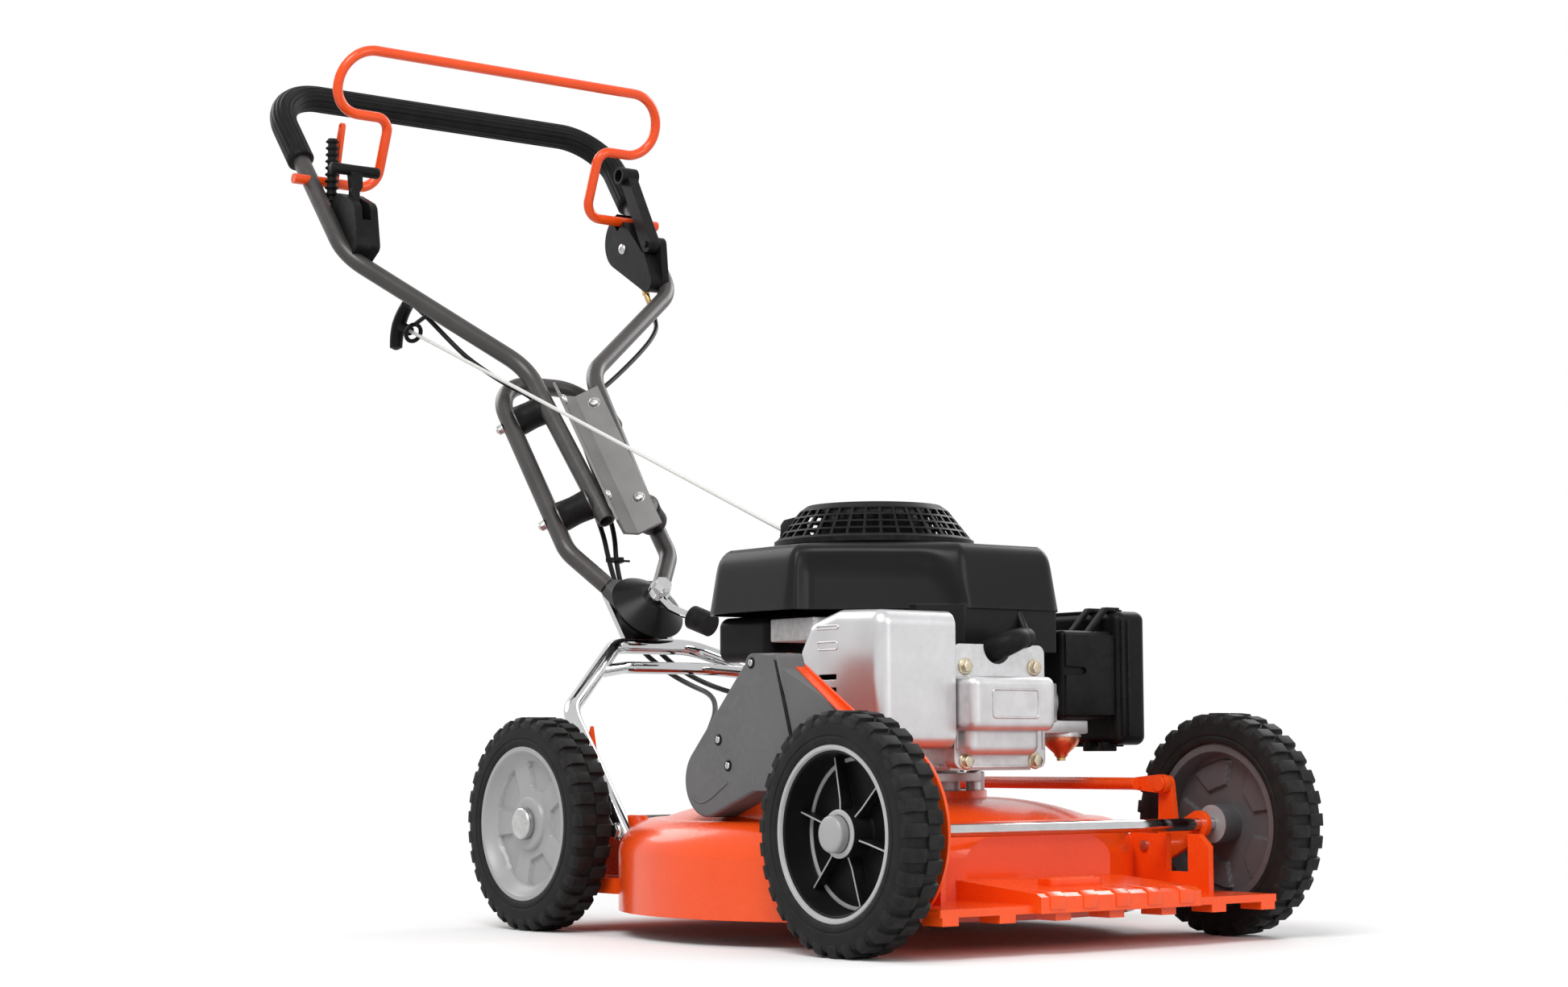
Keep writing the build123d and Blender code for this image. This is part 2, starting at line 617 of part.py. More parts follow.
drive_case = extrude(Plane.YZ.offset(196) * hull_of([(588, 2, 36), (508, 8, 12)]), 25.5)
drive_pivot = (546.0, 36.0)
drive_case += extrude(Plane.YZ.offset(212) * hull_of([(508, 10, 12), (*drive_pivot, 10), (560, 20, 12)]), 9.5)
drive_case -= Pos(0, *bail_pivot) * Rot(0, 90, 0) * Cylinder(bail_r + 1, 600)
drive_case -= Pos(0, bail_pivot[0], bail_pivot[1]) * Box(600, 3 * bail_r, 3 * bail_r)
drive_pin = Pos(203, *drive_pivot) * Rot(0, 90, 0)
drive_screw = Pos(195, 578, -3) * Rot(0, 90, 0) * Cylinder(7, 4)
drive_case = drive_case - drive_screw - bar_solid
lever_eye = (650.0, 54.0)
drive_lever = hull_of([(*drive_pivot, 10), (*lever_eye, 8)])
drive_lever = extrude(Plane.YZ.offset(197) * drive_lever, 14.5)
drive_lever += Pos(202, *lever_eye) * Rot(0, 90, 0) * Cylinder(11, 24)
drive_lever -= drive_pin * Cylinder(4 + running_gap, 60)
drive_lever -= Pos(202, *lever_eye) * Rot(0, 90, 0) * Cylinder(7.5, 30)
for turn in (0, -7, -14):
    swing = Pos(0, *drive_pivot) * Rot(turn, 0, 0) * Pos(0, -drive_pivot[0], -drive_pivot[1])
    lever_sweep = hull_of([(*drive_pivot, 11), (*lever_eye, 12)])
    drive_case -= swing * extrude(Plane.YZ.offset(190) * lever_sweep, 21.8)
drive_case += drive_pin * Cylinder(4, 18)
ferrule = rod((201, 513, -4), (207, 482, -14), 3.5) - drive_case
nodes["drive_housing"] = handle_plane * drive_case
nodes["drive_lever"] = handle_plane * drive_lever

# Cables: along the tubes, together past the swivel, then under the brace to engine and casing
throttle_route = [
    (-206, 504, 10), (-204, 495, 9), (-188, 479, 6), (-166, 459, 3), (-150, 441, -7), (-136, 427, -10),
    (-112, 378, -11), (-97, 356, -12), (-66, 323, -11), (-30, 304, -12), (-16, 258, -22),
    (-13, 190, -22), (-8, 122, -26), (-5, 80, -44), (4, 34, -62)]
throttle_low = [
    (30, 436, 300), (52, 424, 274), (60, 390, 256), (60, 330, 240), (54, 240, 228), (40, 120, 224),
    (30, 56, 224)]
drive_route = [
    (207, 482, -14), (206, 466, -16), (198, 446, -14), (167, 412, -12), (106, 359, -12), (62, 324, -11),
    (30, 304, -12), (16, 258, -22), (12, 186, -23), (8, 118, -27), (4, 78, -46), (12, 32, -66)]
drive_low = [
    (22, 446, 292), (44, 420, 264), (48, 380, 248), (36, 320, 236), (-10, 250, 216), (-80, 170, 192),
    (-150, 70, 176), (-188, 0, 166)]


def cable(route, low_route):
    """A sheath through points on the handle and then points on the chassis, with round bends."""
    points = [Vector(*local(*p)) for p in route] + [Vector(*p) for p in low_route]
    radii = []
    for a, b, c in zip(points, points[1:], points[2:]):
        turn = (b - a).get_angle(c - b)
        shorter = min((b - a).length, (c - b).length)
        radii.append(0.45 * shorter / tan(radians(turn / 2)))
    return swept(FilletPolyline(*points, radius=radii), cable_r)


throttle_cable = cable(throttle_route, throttle_low) - handle_plane * throttle_case
drive_cable = cable(drive_route, drive_low) - handle_plane * ferrule - housing

# Starter: ring on the near tube, rope from the recoil outlet, tee grip beyond the ring
rope_outlet = Vector(-60, 64, 391)
ring_centre = Vector(*local(-139, 423, -37))
rope_axis = (ring_centre - rope_outlet).normalized()
rope = rod(tuple(rope_outlet), tuple(ring_centre + rope_axis * 6), rope_r)
ring_plane = Plane(origin=ring_centre, z_dir=rope_axis)
ring = ring_plane * Torus(10, 2.5)
ring_stem_end = Vector(*local(-138, 415, 4))
stem_dir = (ring_stem_end - ring_centre).normalized()
stem_foot = (stem_dir - rope_axis * stem_dir.dot(rope_axis)).normalized() * 10
ring += rod(tuple(ring_centre + stem_foot), tuple(ring_stem_end), 2.4)
ring -= handle_plane * bar_solid
ring -= rod(tuple(ring_centre - rope_axis * 20), tuple(ring_centre + rope_axis * 20), rope_r + 2)
nodes["handle_fasteners"] = [handle_plane * b for b in damper_bolts + [drive_screw]] + [ring]
up = Vector(0, 0, 1)
across = (up - rope_axis * up.dot(rope_axis)).normalized()
grip_centre = ring_centre + rope_axis * 30
starter_grip = rod(tuple(ring_centre + rope_axis * 6), tuple(grip_centre), 6)
starter_grip += rod(tuple(grip_centre - across * 28), tuple(grip_centre + across * 28), 8)
nodes["starter_grip"] = starter_grip
nodes["starter_rope"] = rope


# Engine
block_body = Pos(0, 0, (boss_z + 160) / 2) * Cylinder(82, 160 - boss_z)
block_body += Pos(0, 0, sum(flange_z) / 2) * Cylinder(flange_r, flange_z[1] - flange_z[0])
block_body += block(-112, -40, -46, 20, 280, 301)
block_body += Pos(0, 0, 230) * Cylinder(68, 145)
block_body += block(head_x - 50, head_x + 50, -168, 0, head_z - 52, head_z + 52)
for i in range(5):
    z = head_z - 48 + 24 * i
    block_body += block(head_x - 58, head_x + 62, -160, -60, z - 1.5, z + 1.5)
block_body -= Pos(0, 0, 250) * Cylinder(crank_r + running_gap, 400)
plate_half_x = 56.0
head = block(head_x - plate_half_x, head_x + plate_half_x, -182, -168, *head_plate_z)
head = fillet(head.edges().filter_by(Axis.Y), 8)
bump = block(-58, 45, head_face_y - 22, -180, 193, 243)
bump = fillet(bump.faces().sort_by(Axis.Y)[0].edges() + bump.edges().filter_by(Axis.Y), 8)
chin = block(-52, 36, -200, -180, 171, 200)
chin = fillet(chin.faces().sort_by(Axis.Y)[0].edges() + chin.edges().filter_by(Axis.Y), 9)
head = head + bump + chin
head -= Pos(-2, -175, head_plate_z[1] - 1) * Rot(90, 0, 0) * Cylinder(17, 40)
engine_bolts = []
for dx in (-1, 1):
    for dz in (-1, 1):
        x = head_x + dx * head_bolt_dx / 2
        z = head_z + dz * head_bolt_dz / 2
        engine_bolts.append(rod((x, -188, z), (x, -160, z), 3.5) + rod((x, -188, z), (x, -182, z), 6))
mount_bolts = []
for i in range(4):
    x = mount_bolt_r * cos(radians(45 + 90 * i))
    y = mount_bolt_r * sin(radians(45 + 90 * i))
    block_body += rod((x, y, boss_z), (x, y, flange_z[1]), 9)
    mount_bolts.append(rod((x, y, 124), (x, y, flange_z[1] + 7), 4))
    mount_bolts[-1] += rod((x, y, flange_z[1]), (x, y, flange_z[1] + 7), 7)
block_body -= engine_bolts + mount_bolts
head -= engine_bolts
nodes["deck_shell"] = nodes["deck_shell"] - mount_bolts
nodes["head_cover"] = head
nodes["chassis_fasteners"] = cover_screws + foot_bolts + engine_bolts + mount_bolts

guard_side = [(-190, 177), (-190, 302), (-124, 304), (-84, 294), (-66, 266), (-76, 212), (-120, 177)]
guard_side = make_face(FilletPolyline(*guard_side, radius=14, close=True))
guard = sketch_x(guard_side, guard_outer_x, guard_inner_x)
guard = fillet(guard.faces().sort_by(Axis.X)[0].edges(), 12)
guard_hollow = sketch_x(offset(guard_side, -guard_wall), guard_outer_x + guard_wall, guard_inner_x + 1)
guard -= fillet(guard_hollow.faces().sort_by(Axis.X)[0].edges(), 12 - guard_wall)
for i in range(4):
    guard -= block(guard_outer_x - 1, guard_outer_x + 4, -126, -100, 204 + 12 * i, 209 + 12 * i)
muffler = rounded_block(-128, -72, -176, -80, 206, 284, 14)
muffler += rod((-75, -110, 235), (-50, -110, 235), 12)
nodes["muffler_guard"] = guard
muffler -= block_body
nodes["muffler"] = muffler

shroud_outline = [
    (-140, 79), (-140, -44), (-14, -152), (104, -152), (126, -124), (126, 92), (104, 116), (-116, 116)]
shroud_sketch = make_face(FilletPolyline(*shroud_outline, radius=22, close=True))
scoop_mid = Vector(-77, -98, shroud_z)
scoop_out = Vector(-0.651, -0.759, 0)
scoop_r = 130.0
scoop_lean = Vector(0.651, 0.759, 0) * 0.36 + Vector(0, 0, 1)


def scoop(radius):
    """The leaning drum that hollows the cover's near front wall."""
    start = scoop_mid + scoop_out * (scoop_r + 3) - scoop_lean * 10
    return rod(tuple(start), tuple(start + scoop_lean * (shroud_height + 30)), radius)


shroud = extrude(Pos(0, 0, shroud_z) * shroud_sketch, shroud_height, taper=9) - scoop(scoop_r)
shroud = fillet(shroud.faces().sort_by(Axis.Z)[-1].edges(), 8)
inner_sketch = offset(shroud_sketch, -3)
inner = extrude(Pos(0, 0, shroud_z - 1) * inner_sketch, shroud_height - 2, taper=9) - scoop(scoop_r + 3)
shroud = shroud - inner - Pos(0, 0, shroud_z + shroud_height) * Cylinder(grille_r - 8, 30)
under_cowl = extrude(Pos(0, 0, 268) * offset(shroud_sketch, -1.5), shroud_z + 2 - 268)
under_cowl = under_cowl & block(-48, 116, -160, -48, 260, 320)
under_cowl -= [block_body, head, Pos(0, 0, 290) * Cylinder(69, 80)]
shroud += under_cowl
nodes["fan_cover"] = shroud

grille_z = shroud_z + shroud_height
grille_side = [
    (0, grille_z), (grille_r, grille_z), (grille_r, grille_z + 5), (grille_r - 3, grille_z + 7),
    (grille_r - 25, grille_top_z - 5), (grille_r - 32, grille_top_z), (0, grille_top_z)]
grille_inside = [
    (0, grille_z - 1), (grille_r - 8, grille_z - 1), (grille_r - 8, grille_z + 6),
    (grille_r - 28, grille_top_z - 7), (grille_r - 34, grille_top_z - 3), (0, grille_top_z - 3)]
grille = revolve(Plane.XZ * make_face(Polyline(*grille_side, close=True)), Axis.Z)
grille -= revolve(Plane.XZ * make_face(Polyline(*grille_inside, close=True)), Axis.Z)
windows = []
for row in range(4):
    z = grille_z + 7.5 + 7 * row
    half = pi * (grille_r - 5.5 * (row + 1)) / grille_bars - 1.3
    window = block(58, grille_r + 2, -half, half, z, z + 5)
    windows += [Rot(0, 0, 360 / grille_bars * i) * window for i in range(grille_bars)]
for r0, r1 in ((34, 46), (49, 61)):
    window = block(r0, r1, -3.4, 3.4, grille_top_z - 4, grille_top_z + 1)
    windows += [Rot(0, 0, 360 / 24 * i) * window for i in range(24)]
grille -= windows
outlet_block = rod(tuple(rope_outlet - rope_axis * 4), tuple(rope_outlet - rope_axis * 26), 11)
rope_hole = rod(tuple(rope_outlet - rope_axis * 30), tuple(rope_outlet + rope_axis * 30), rope_r + 0.6)
nodes["recoil_grille"] = grille + outlet_block - shroud - rope_hole

tank = rounded_block(-112, 96, 24, 110, 262, 306, 10) - Pos(0, 0, 250) * Cylinder(70, 200)
tank -= block(-60, 60, 20, 60, 250, 310)
filler = Vector(70, 104, 284)
filler_axis = Vector(0.3, 0.9, 0.2).normalized()
tank += rod(tuple(filler), tuple(filler + filler_axis * 34), 15)
nodes["fuel_tank"] = tank
cap_base = filler + filler_axis * (34 + body_gap)
fuel_cap = Solid.make_cylinder(21, 16, Plane(origin=cap_base, z_dir=filler_axis))
nodes["fuel_cap"] = fuel_cap

dipstick = Pos(76, -20, 222) * Cylinder(7, 70) + Pos(76, -20, 262) * Cylinder(12, 12)
boss = Pos(74, -20, 170) * Cylinder(12, 34)
block_body += boss
nodes["oil_dipstick"] = dipstick - block_body

bowl = (141.0, -113.0)
carb = block(52, 118, -134, -92, 202, 240) + block(100, 160, -132, -94, 190, 204.5)
carb += Pos(*bowl, 181.5) * Cylinder(18.5, 20) + Pos(*bowl, 169) * Cylinder(4, 8)
carb = carb - block_body
nodes["carburettor"] = carb
case = rounded_block(119, 188, -140, -46, 205, 291, 6)
case -= block(126, 189, -133, -53, 212, 284)
lid = rounded_block(188, 227, -146, -40, 180, 311, 9)
element = block(160, 187, -132, -54, 213, 283)
nodes["air_filter_case"] = case - carb
nodes["air_filter_cover"] = lid - case
nodes["air_filter_element"] = element

boot_path = [(-2, -168, 266), (-2, -194, 272), (14, -198, 281), (36, -180, 280)]
lead_path = [boot_path[-1], (52, -168, 279), (54, -150, 300)]
plug_boot = rod(boot_path[0], boot_path[1], 10)
plug_boot += swept(FilletPolyline(*boot_path[1:], radius=12), 9)
plug_boot += swept(FilletPolyline(*lead_path, radius=8), 4)
nodes["plug_boot"] = plug_boot - head - block_body - shroud
nodes["engine_block"] = block_body
nodes["control_cables"] = [throttle_cable - block_body, drive_cable, handle_plane * ferrule]

# Crankshaft, flywheel and blade turn together
nodes["crankshaft"] = rod((0, 0, blade_z - 6), (0, 0, 366), crank_r)
flywheel = Pos(0, 0, 332) * Cylinder(86, 26) - Pos(0, 0, 340) * Cylinder(74, 20)
for i in range(12):
    vane = Rot(0, 0, 30 * i) * block(40, 76, -1.5, 1.5, 328, 352)
    flywheel += vane
nodes["flywheel"] = flywheel - Pos(0, 0, 332) * Cylinder(crank_r, 80)
blade = block(-blade_r, blade_r, -27, 27, blade_z, blade_z + 4)
for side in (-1, 1):
    wing = block(150, blade_r - 2, 10, 27, blade_z + 3, blade_z + 16)
    blade += Rot(0, 0, 0 if side > 0 else 180) * wing
blade = blade & (Pos(0, 0, blade_z + 8) * Cylinder(blade_r, 40))
nodes["blade"] = blade - Pos(0, 0, blade_z) * Cylinder(crank_r, 40)
holder = Pos(0, 0, blade_z + 19) * Cylinder(24, 30) + Pos(0, 0, blade_z + 7) * Cylinder(42, 6)
nodes["blade_holder"] = holder - Pos(0, 0, blade_z) * Cylinder(crank_r, 120)

for name, shape in nodes.items():
    export_step(solid_of(shape), f"parts/{name}.step")
print(len(nodes), "nodes")
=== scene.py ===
from math import cos, pi, radians, sin, tan

import bmesh
import bpy
from mathutils import Matrix, Vector


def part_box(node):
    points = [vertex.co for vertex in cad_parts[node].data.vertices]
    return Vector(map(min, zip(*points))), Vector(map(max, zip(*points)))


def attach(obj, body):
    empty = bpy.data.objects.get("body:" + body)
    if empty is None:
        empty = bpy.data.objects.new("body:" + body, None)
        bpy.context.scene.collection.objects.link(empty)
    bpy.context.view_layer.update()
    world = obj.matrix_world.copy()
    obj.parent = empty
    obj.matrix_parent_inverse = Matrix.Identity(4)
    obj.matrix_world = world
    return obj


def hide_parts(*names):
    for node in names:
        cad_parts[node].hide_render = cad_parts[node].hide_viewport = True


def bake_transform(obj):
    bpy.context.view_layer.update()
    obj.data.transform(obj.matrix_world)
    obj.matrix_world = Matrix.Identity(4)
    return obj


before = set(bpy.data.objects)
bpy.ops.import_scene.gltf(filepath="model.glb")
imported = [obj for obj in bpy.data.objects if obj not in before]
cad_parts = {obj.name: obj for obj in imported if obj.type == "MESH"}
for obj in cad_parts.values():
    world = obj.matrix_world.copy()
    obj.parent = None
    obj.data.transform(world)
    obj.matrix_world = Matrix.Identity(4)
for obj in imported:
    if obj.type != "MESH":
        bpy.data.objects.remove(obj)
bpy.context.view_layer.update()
print("frame loaded:", len(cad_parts), "nodes")

mm = 0.001
toMetres = Matrix.Scale(mm, 4)
colourSocket, valueSocket = "NodeSocketColor", "NodeSocketFloat"


# shader groups shared by the finishes
def newGroup(name, inputs, outputs):
    group = bpy.data.node_groups.new(name, "ShaderNodeTree")
    for label, kind, value in inputs:
        socket = group.interface.new_socket(label, in_out="INPUT", socket_type=kind)
        socket.default_value = value
    for label, kind in outputs:
        group.interface.new_socket(label, in_out="OUTPUT", socket_type=kind)
    return group, group.nodes.new("NodeGroupInput").outputs, group.nodes.new("NodeGroupOutput").inputs


def addNoise(tree, detail, scale=5.0):
    coords, noise = tree.nodes.new("ShaderNodeTexCoord"), tree.nodes.new("ShaderNodeTexNoise")
    noise.inputs["Detail"].default_value = detail
    noise.inputs["Scale"].default_value = scale
    tree.links.new(coords.outputs["Object"], noise.inputs["Vector"])
    return noise


def addRange(tree, value, low, high):
    # 0 to 1 as value goes from low to high
    span = tree.nodes.new("ShaderNodeMapRange")
    span.inputs["From Min"].default_value = low
    span.inputs["From Max"].default_value = high
    tree.links.new(value, span.inputs["Value"])
    return span


def addMath(tree, operation, first, second):
    node = tree.nodes.new("ShaderNodeMath")
    node.operation = operation
    tree.links.new(first, node.inputs[0])
    tree.links.new(second, node.inputs[1])
    return node.outputs[0]


def addColourMix(tree, factor, first, second):
    mix = tree.nodes.new("ShaderNodeMix")
    mix.data_type = "RGBA"
    for source, index in ((factor, 0), (first, 6), (second, 7)):
        tree.links.new(source, mix.inputs[index])
    return mix.outputs[2]


def buildGrainGroup():
    group, source, sink = newGroup(
        "surfaceGrain",
        [("Base", colourSocket, (0.5, 0.5, 0.5, 1)), ("Shade", colourSocket, (0.4, 0.4, 0.4, 1)),
         ("Mottle Scale", valueSocket, 40), ("Grain Scale", valueSocket, 900),
         ("Rough Low", valueSocket, 0.3), ("Rough High", valueSocket, 0.4)],
        [("Colour", colourSocket), ("Roughness", valueSocket), ("Height", valueSocket)])
    link = group.links.new
    mottle, grain = addNoise(group, 4), addNoise(group, 2)
    link(source["Mottle Scale"], mottle.inputs["Scale"])
    link(source["Grain Scale"], grain.inputs["Scale"])
    spread = addRange(group, mottle.outputs["Fac"], 0.35, 0.68)
    rough = addRange(group, grain.outputs["Fac"], 0.3, 0.7)
    link(source["Rough Low"], rough.inputs["To Min"])
    link(source["Rough High"], rough.inputs["To Max"])
    link(addColourMix(group, spread.outputs[0], source["Base"], source["Shade"]), sink["Colour"])
    link(rough.outputs[0], sink["Roughness"])
    link(grain.outputs["Fac"], sink["Height"])
    return group


def buildLayerGroup(name, layer, tone, amount, addMask):
    # a second colour laid over the first where the mask lets it
    group, source, sink = newGroup(
        name,
        [("Colour", colourSocket, (0.5, 0.5, 0.5, 1)), (layer, colourSocket, tone), ("Amount", valueSocket, amount)],
        [("Colour", colourSocket), ("Mask", valueSocket)])
    mask = addMath(group, "MULTIPLY", addMask(group), source["Amount"])
    group.links.new(addColourMix(group, mask, source["Colour"], source[layer]), sink["Colour"])
    group.links.new(mask, sink["Mask"])
    return group


# lighter edges where pointiness is high, broken up by noise: edge wear and painted highlight
def addWearAndHighlightMask(group):
    geometry = group.nodes.new("ShaderNodeNewGeometry")
    edge = addRange(group, geometry.outputs["Pointiness"], 0.515, 0.6)
    broken = addRange(group, addNoise(group, 5, 130).outputs["Fac"], 0.4, 0.65)
    return addMath(group, "MULTIPLY", edge.outputs[0], broken.outputs[0])


def addDustMask(group):
    geometry, split = group.nodes.new("ShaderNodeNewGeometry"), group.nodes.new("ShaderNodeSeparateXYZ")
    group.links.new(geometry.outputs["Normal"], split.inputs[0])
    upward = addRange(group, split.outputs["Z"], 0.2, 1.0)
    patchy = addRange(group, addNoise(group, 6, 75).outputs["Fac"], 0.42, 0.75)
    return addMath(group, "MULTIPLY", upward.outputs[0], patchy.outputs[0])


grainGroup = buildGrainGroup()
# edges lightened towards the edge colour: edge wear and painted highlight
wearAndHighlightGroup = buildLayerGroup("edgeWearAndPaintedHighlight", "Wear And Highlight Colour", (0.7, 0.7, 0.7, 1), 0.3, addWearAndHighlightMask)
dustGroup = buildLayerGroup("settledDust", "Dust", (0.4, 0.37, 0.33, 1), 0.1, addDustMask)
print("shader groups built")

# finishes: colours are base, shade and the edge colour, which stands partly for edge wear and partly for painted
# highlight, linear; scales are mottle and grain, per metre;
# bump depth and edge softness are in millimetres; what a finish leaves out is as in plainLook
plainLook = {"bump": 0.03, "wearAndHighlight": 0.3, "dust": 0.02, "metal": 0, "specular": 0.5, "coat": 0, "coatRough": 0.03,
             "soft": 0}
bumpStrength = 0.6
finishes = {
    "orangePowderCoat": {"colours": ((0.86, 0.078, 0.005), (0.8, 0.066, 0.004), (0.92, 0.15, 0.03)),
                         "scales": (14, 420), "rough": (0.2, 0.3), "wearAndHighlight": 0.15, "dust": 0.01, "specular": 0.35,
                         "coat": 0.2, "coatRough": 0.08, "soft": 1.0},
    "greyTubePaint": {"colours": ((0.062, 0.057, 0.056), (0.05, 0.046, 0.045), (0.14, 0.13, 0.13)),
                      "scales": (30, 1500), "rough": (0.28, 0.4), "bump": 0.02, "wearAndHighlight": 0.2, "metal": 0.25,
                      "specular": 0.4, "soft": 0.5},
    "platePaint": {"colours": ((0.2, 0.192, 0.19), (0.17, 0.163, 0.162), (0.2, 0.19, 0.19)),
                   "scales": (30, 600), "rough": (0.37, 0.4), "bump": 0.004, "wearAndHighlight": 0.2, "metal": 0.3, "soft": 0.8},
    "chromePlate": {"colours": ((0.58, 0.58, 0.59), (0.5, 0.5, 0.51), (0.84, 0.84, 0.84)),
                    "scales": (18, 700), "rough": (0.04, 0.09), "bump": 0.003, "wearAndHighlight": 0.1, "metal": 1.0, "soft": 0.5},
    "zincSteel": {"colours": ((0.55, 0.55, 0.54), (0.44, 0.44, 0.44), (0.7, 0.7, 0.7)),
                  "scales": (160, 1800), "rough": (0.2, 0.34), "bump": 0.01, "dust": 0.03, "metal": 1.0, "soft": 0.4},
    "darkSteel": {"colours": ((0.1, 0.098, 0.095), (0.07, 0.068, 0.066), (0.32, 0.31, 0.3)),
                  "scales": (60, 1400), "rough": (0.34, 0.5), "bump": 0.02, "wearAndHighlight": 0.4, "dust": 0.05, "metal": 0.9,
                  "soft": 0.4},
    "brassPlate": {"colours": ((0.62, 0.44, 0.2), (0.5, 0.34, 0.14), (0.8, 0.62, 0.35)),
                   "scales": (120, 1600), "rough": (0.2, 0.34), "bump": 0.01, "metal": 1.0, "soft": 0.4},
    "yellowZinc": {"colours": ((0.6, 0.53, 0.4), (0.5, 0.43, 0.31), (0.75, 0.7, 0.6)),
                   "scales": (120, 1600), "rough": (0.24, 0.36), "bump": 0.01, "metal": 1.0, "soft": 0.4},
    "castAluminium": {"colours": ((0.62, 0.62, 0.63), (0.53, 0.53, 0.54), (0.82, 0.82, 0.82)),
                      "scales": (55, 1300), "rough": (0.34, 0.48), "bump": 0.09, "dust": 0.01, "metal": 0.75,
                      "soft": 1.4},
    "roughCasting": {"colours": ((0.5, 0.5, 0.5), (0.38, 0.38, 0.38), (0.66, 0.66, 0.66)),
                     "scales": (160, 620), "rough": (0.45, 0.62), "bump": 0.4, "dust": 0.03, "metal": 0.6,
                     "soft": 1.0},
    "guardSheet": {"colours": ((0.62, 0.62, 0.63), (0.55, 0.55, 0.56), (0.82, 0.82, 0.82)),
                   "scales": (22, 1100), "rough": (0.28, 0.4), "wearAndHighlight": 0.2, "dust": 0.01, "metal": 0.85, "soft": 0.8},
    "blackPlastic": {"colours": ((0.006, 0.006, 0.0065), (0.009, 0.009, 0.0095), (0.03, 0.03, 0.03)),
                     "scales": (35, 1700), "rough": (0.32, 0.46), "dust": 0.01, "specular": 0.09, "soft": 0.8},
    "shroudPlastic": {"colours": ((0.0065, 0.0065, 0.007), (0.008, 0.008, 0.0085), (0.03, 0.03, 0.03)),
                      "scales": (12, 2100), "rough": (0.28, 0.38), "bump": 0.015, "wearAndHighlight": 0.2, "dust": 0.01,
                      "specular": 0.15, "soft": 1.2},
    "casingPlastic": {"colours": ((0.118, 0.117, 0.12), (0.106, 0.105, 0.108), (0.18, 0.18, 0.18)),
                      "scales": (20, 2400), "rough": (0.46, 0.6), "bump": 0.05, "wearAndHighlight": 0.2, "dust": 0.01,
                      "specular": 0.3, "soft": 1.0},
    "wheelPlastic": {"colours": ((0.36, 0.36, 0.365), (0.33, 0.33, 0.335), (0.38, 0.38, 0.38)),
                     "scales": (25, 1900), "rough": (0.34, 0.46), "metal": 0.1, "specular": 0.4, "soft": 0.8},
    # painted shade: the wheel plastic darkened for the rims' inward side
    "rimPaintedShade": {"colours": ((0.1, 0.1, 0.105), (0.085, 0.085, 0.09), (0.14, 0.14, 0.14)),
                "scales": (25, 1900), "rough": (0.34, 0.46), "metal": 0.1, "specular": 0.4, "soft": 0.8},
    # lighter grey for the drive rim's edge rings, and painted highlight for the strips on its ribs
    "rimEdgeAndRibHighlight": {"colours": ((0.42, 0.42, 0.425), (0.37, 0.37, 0.375), (0.5, 0.5, 0.5)),
                "scales": (25, 1900), "rough": (0.36, 0.48), "soft": 0.5},
    "tyreRubber": {"colours": ((0.0085, 0.0085, 0.0085), (0.014, 0.0135, 0.0135), (0.04, 0.039, 0.037)),
                   "scales": (50, 1500), "rough": (0.5, 0.7), "bump": 0.12, "wearAndHighlight": 0.5, "dust": 0.03,
                   "specular": 0.14, "soft": 0.6},
    "softRubber": {"colours": ((0.006, 0.006, 0.006), (0.01, 0.01, 0.01), (0.03, 0.03, 0.03)),
                   "scales": (60, 1600), "rough": (0.4, 0.55), "bump": 0.05, "specular": 0.1, "soft": 0.5},
    "cableSheath": {"colours": ((0.007, 0.007, 0.007), (0.011, 0.011, 0.011), (0.03, 0.03, 0.03)),
                    "scales": (90, 1300), "rough": (0.3, 0.45), "wearAndHighlight": 0.2, "specular": 0.16},
    "nylonRope": {"colours": ((0.74, 0.74, 0.72), (0.64, 0.64, 0.62), (0.92, 0.92, 0.9)),
                  "scales": (400, 1500), "rough": (0.5, 0.7), "bump": 0.15, "wearAndHighlight": 0.1, "dust": 0.03},
    "filterPaper": {"colours": ((0.66, 0.58, 0.42), (0.58, 0.5, 0.35), (0.74, 0.66, 0.5)),
                    "scales": (220, 900), "rough": (0.75, 0.9), "bump": 0.1, "wearAndHighlight": 0.1, "dust": 0.05},
    "copperBowl": {"colours": ((0.7, 0.24, 0.12), (0.6, 0.18, 0.08), (0.85, 0.45, 0.3)),
                   "scales": (70, 1200), "rough": (0.24, 0.36), "bump": 0.02, "metal": 0.85, "soft": 0.8},
}


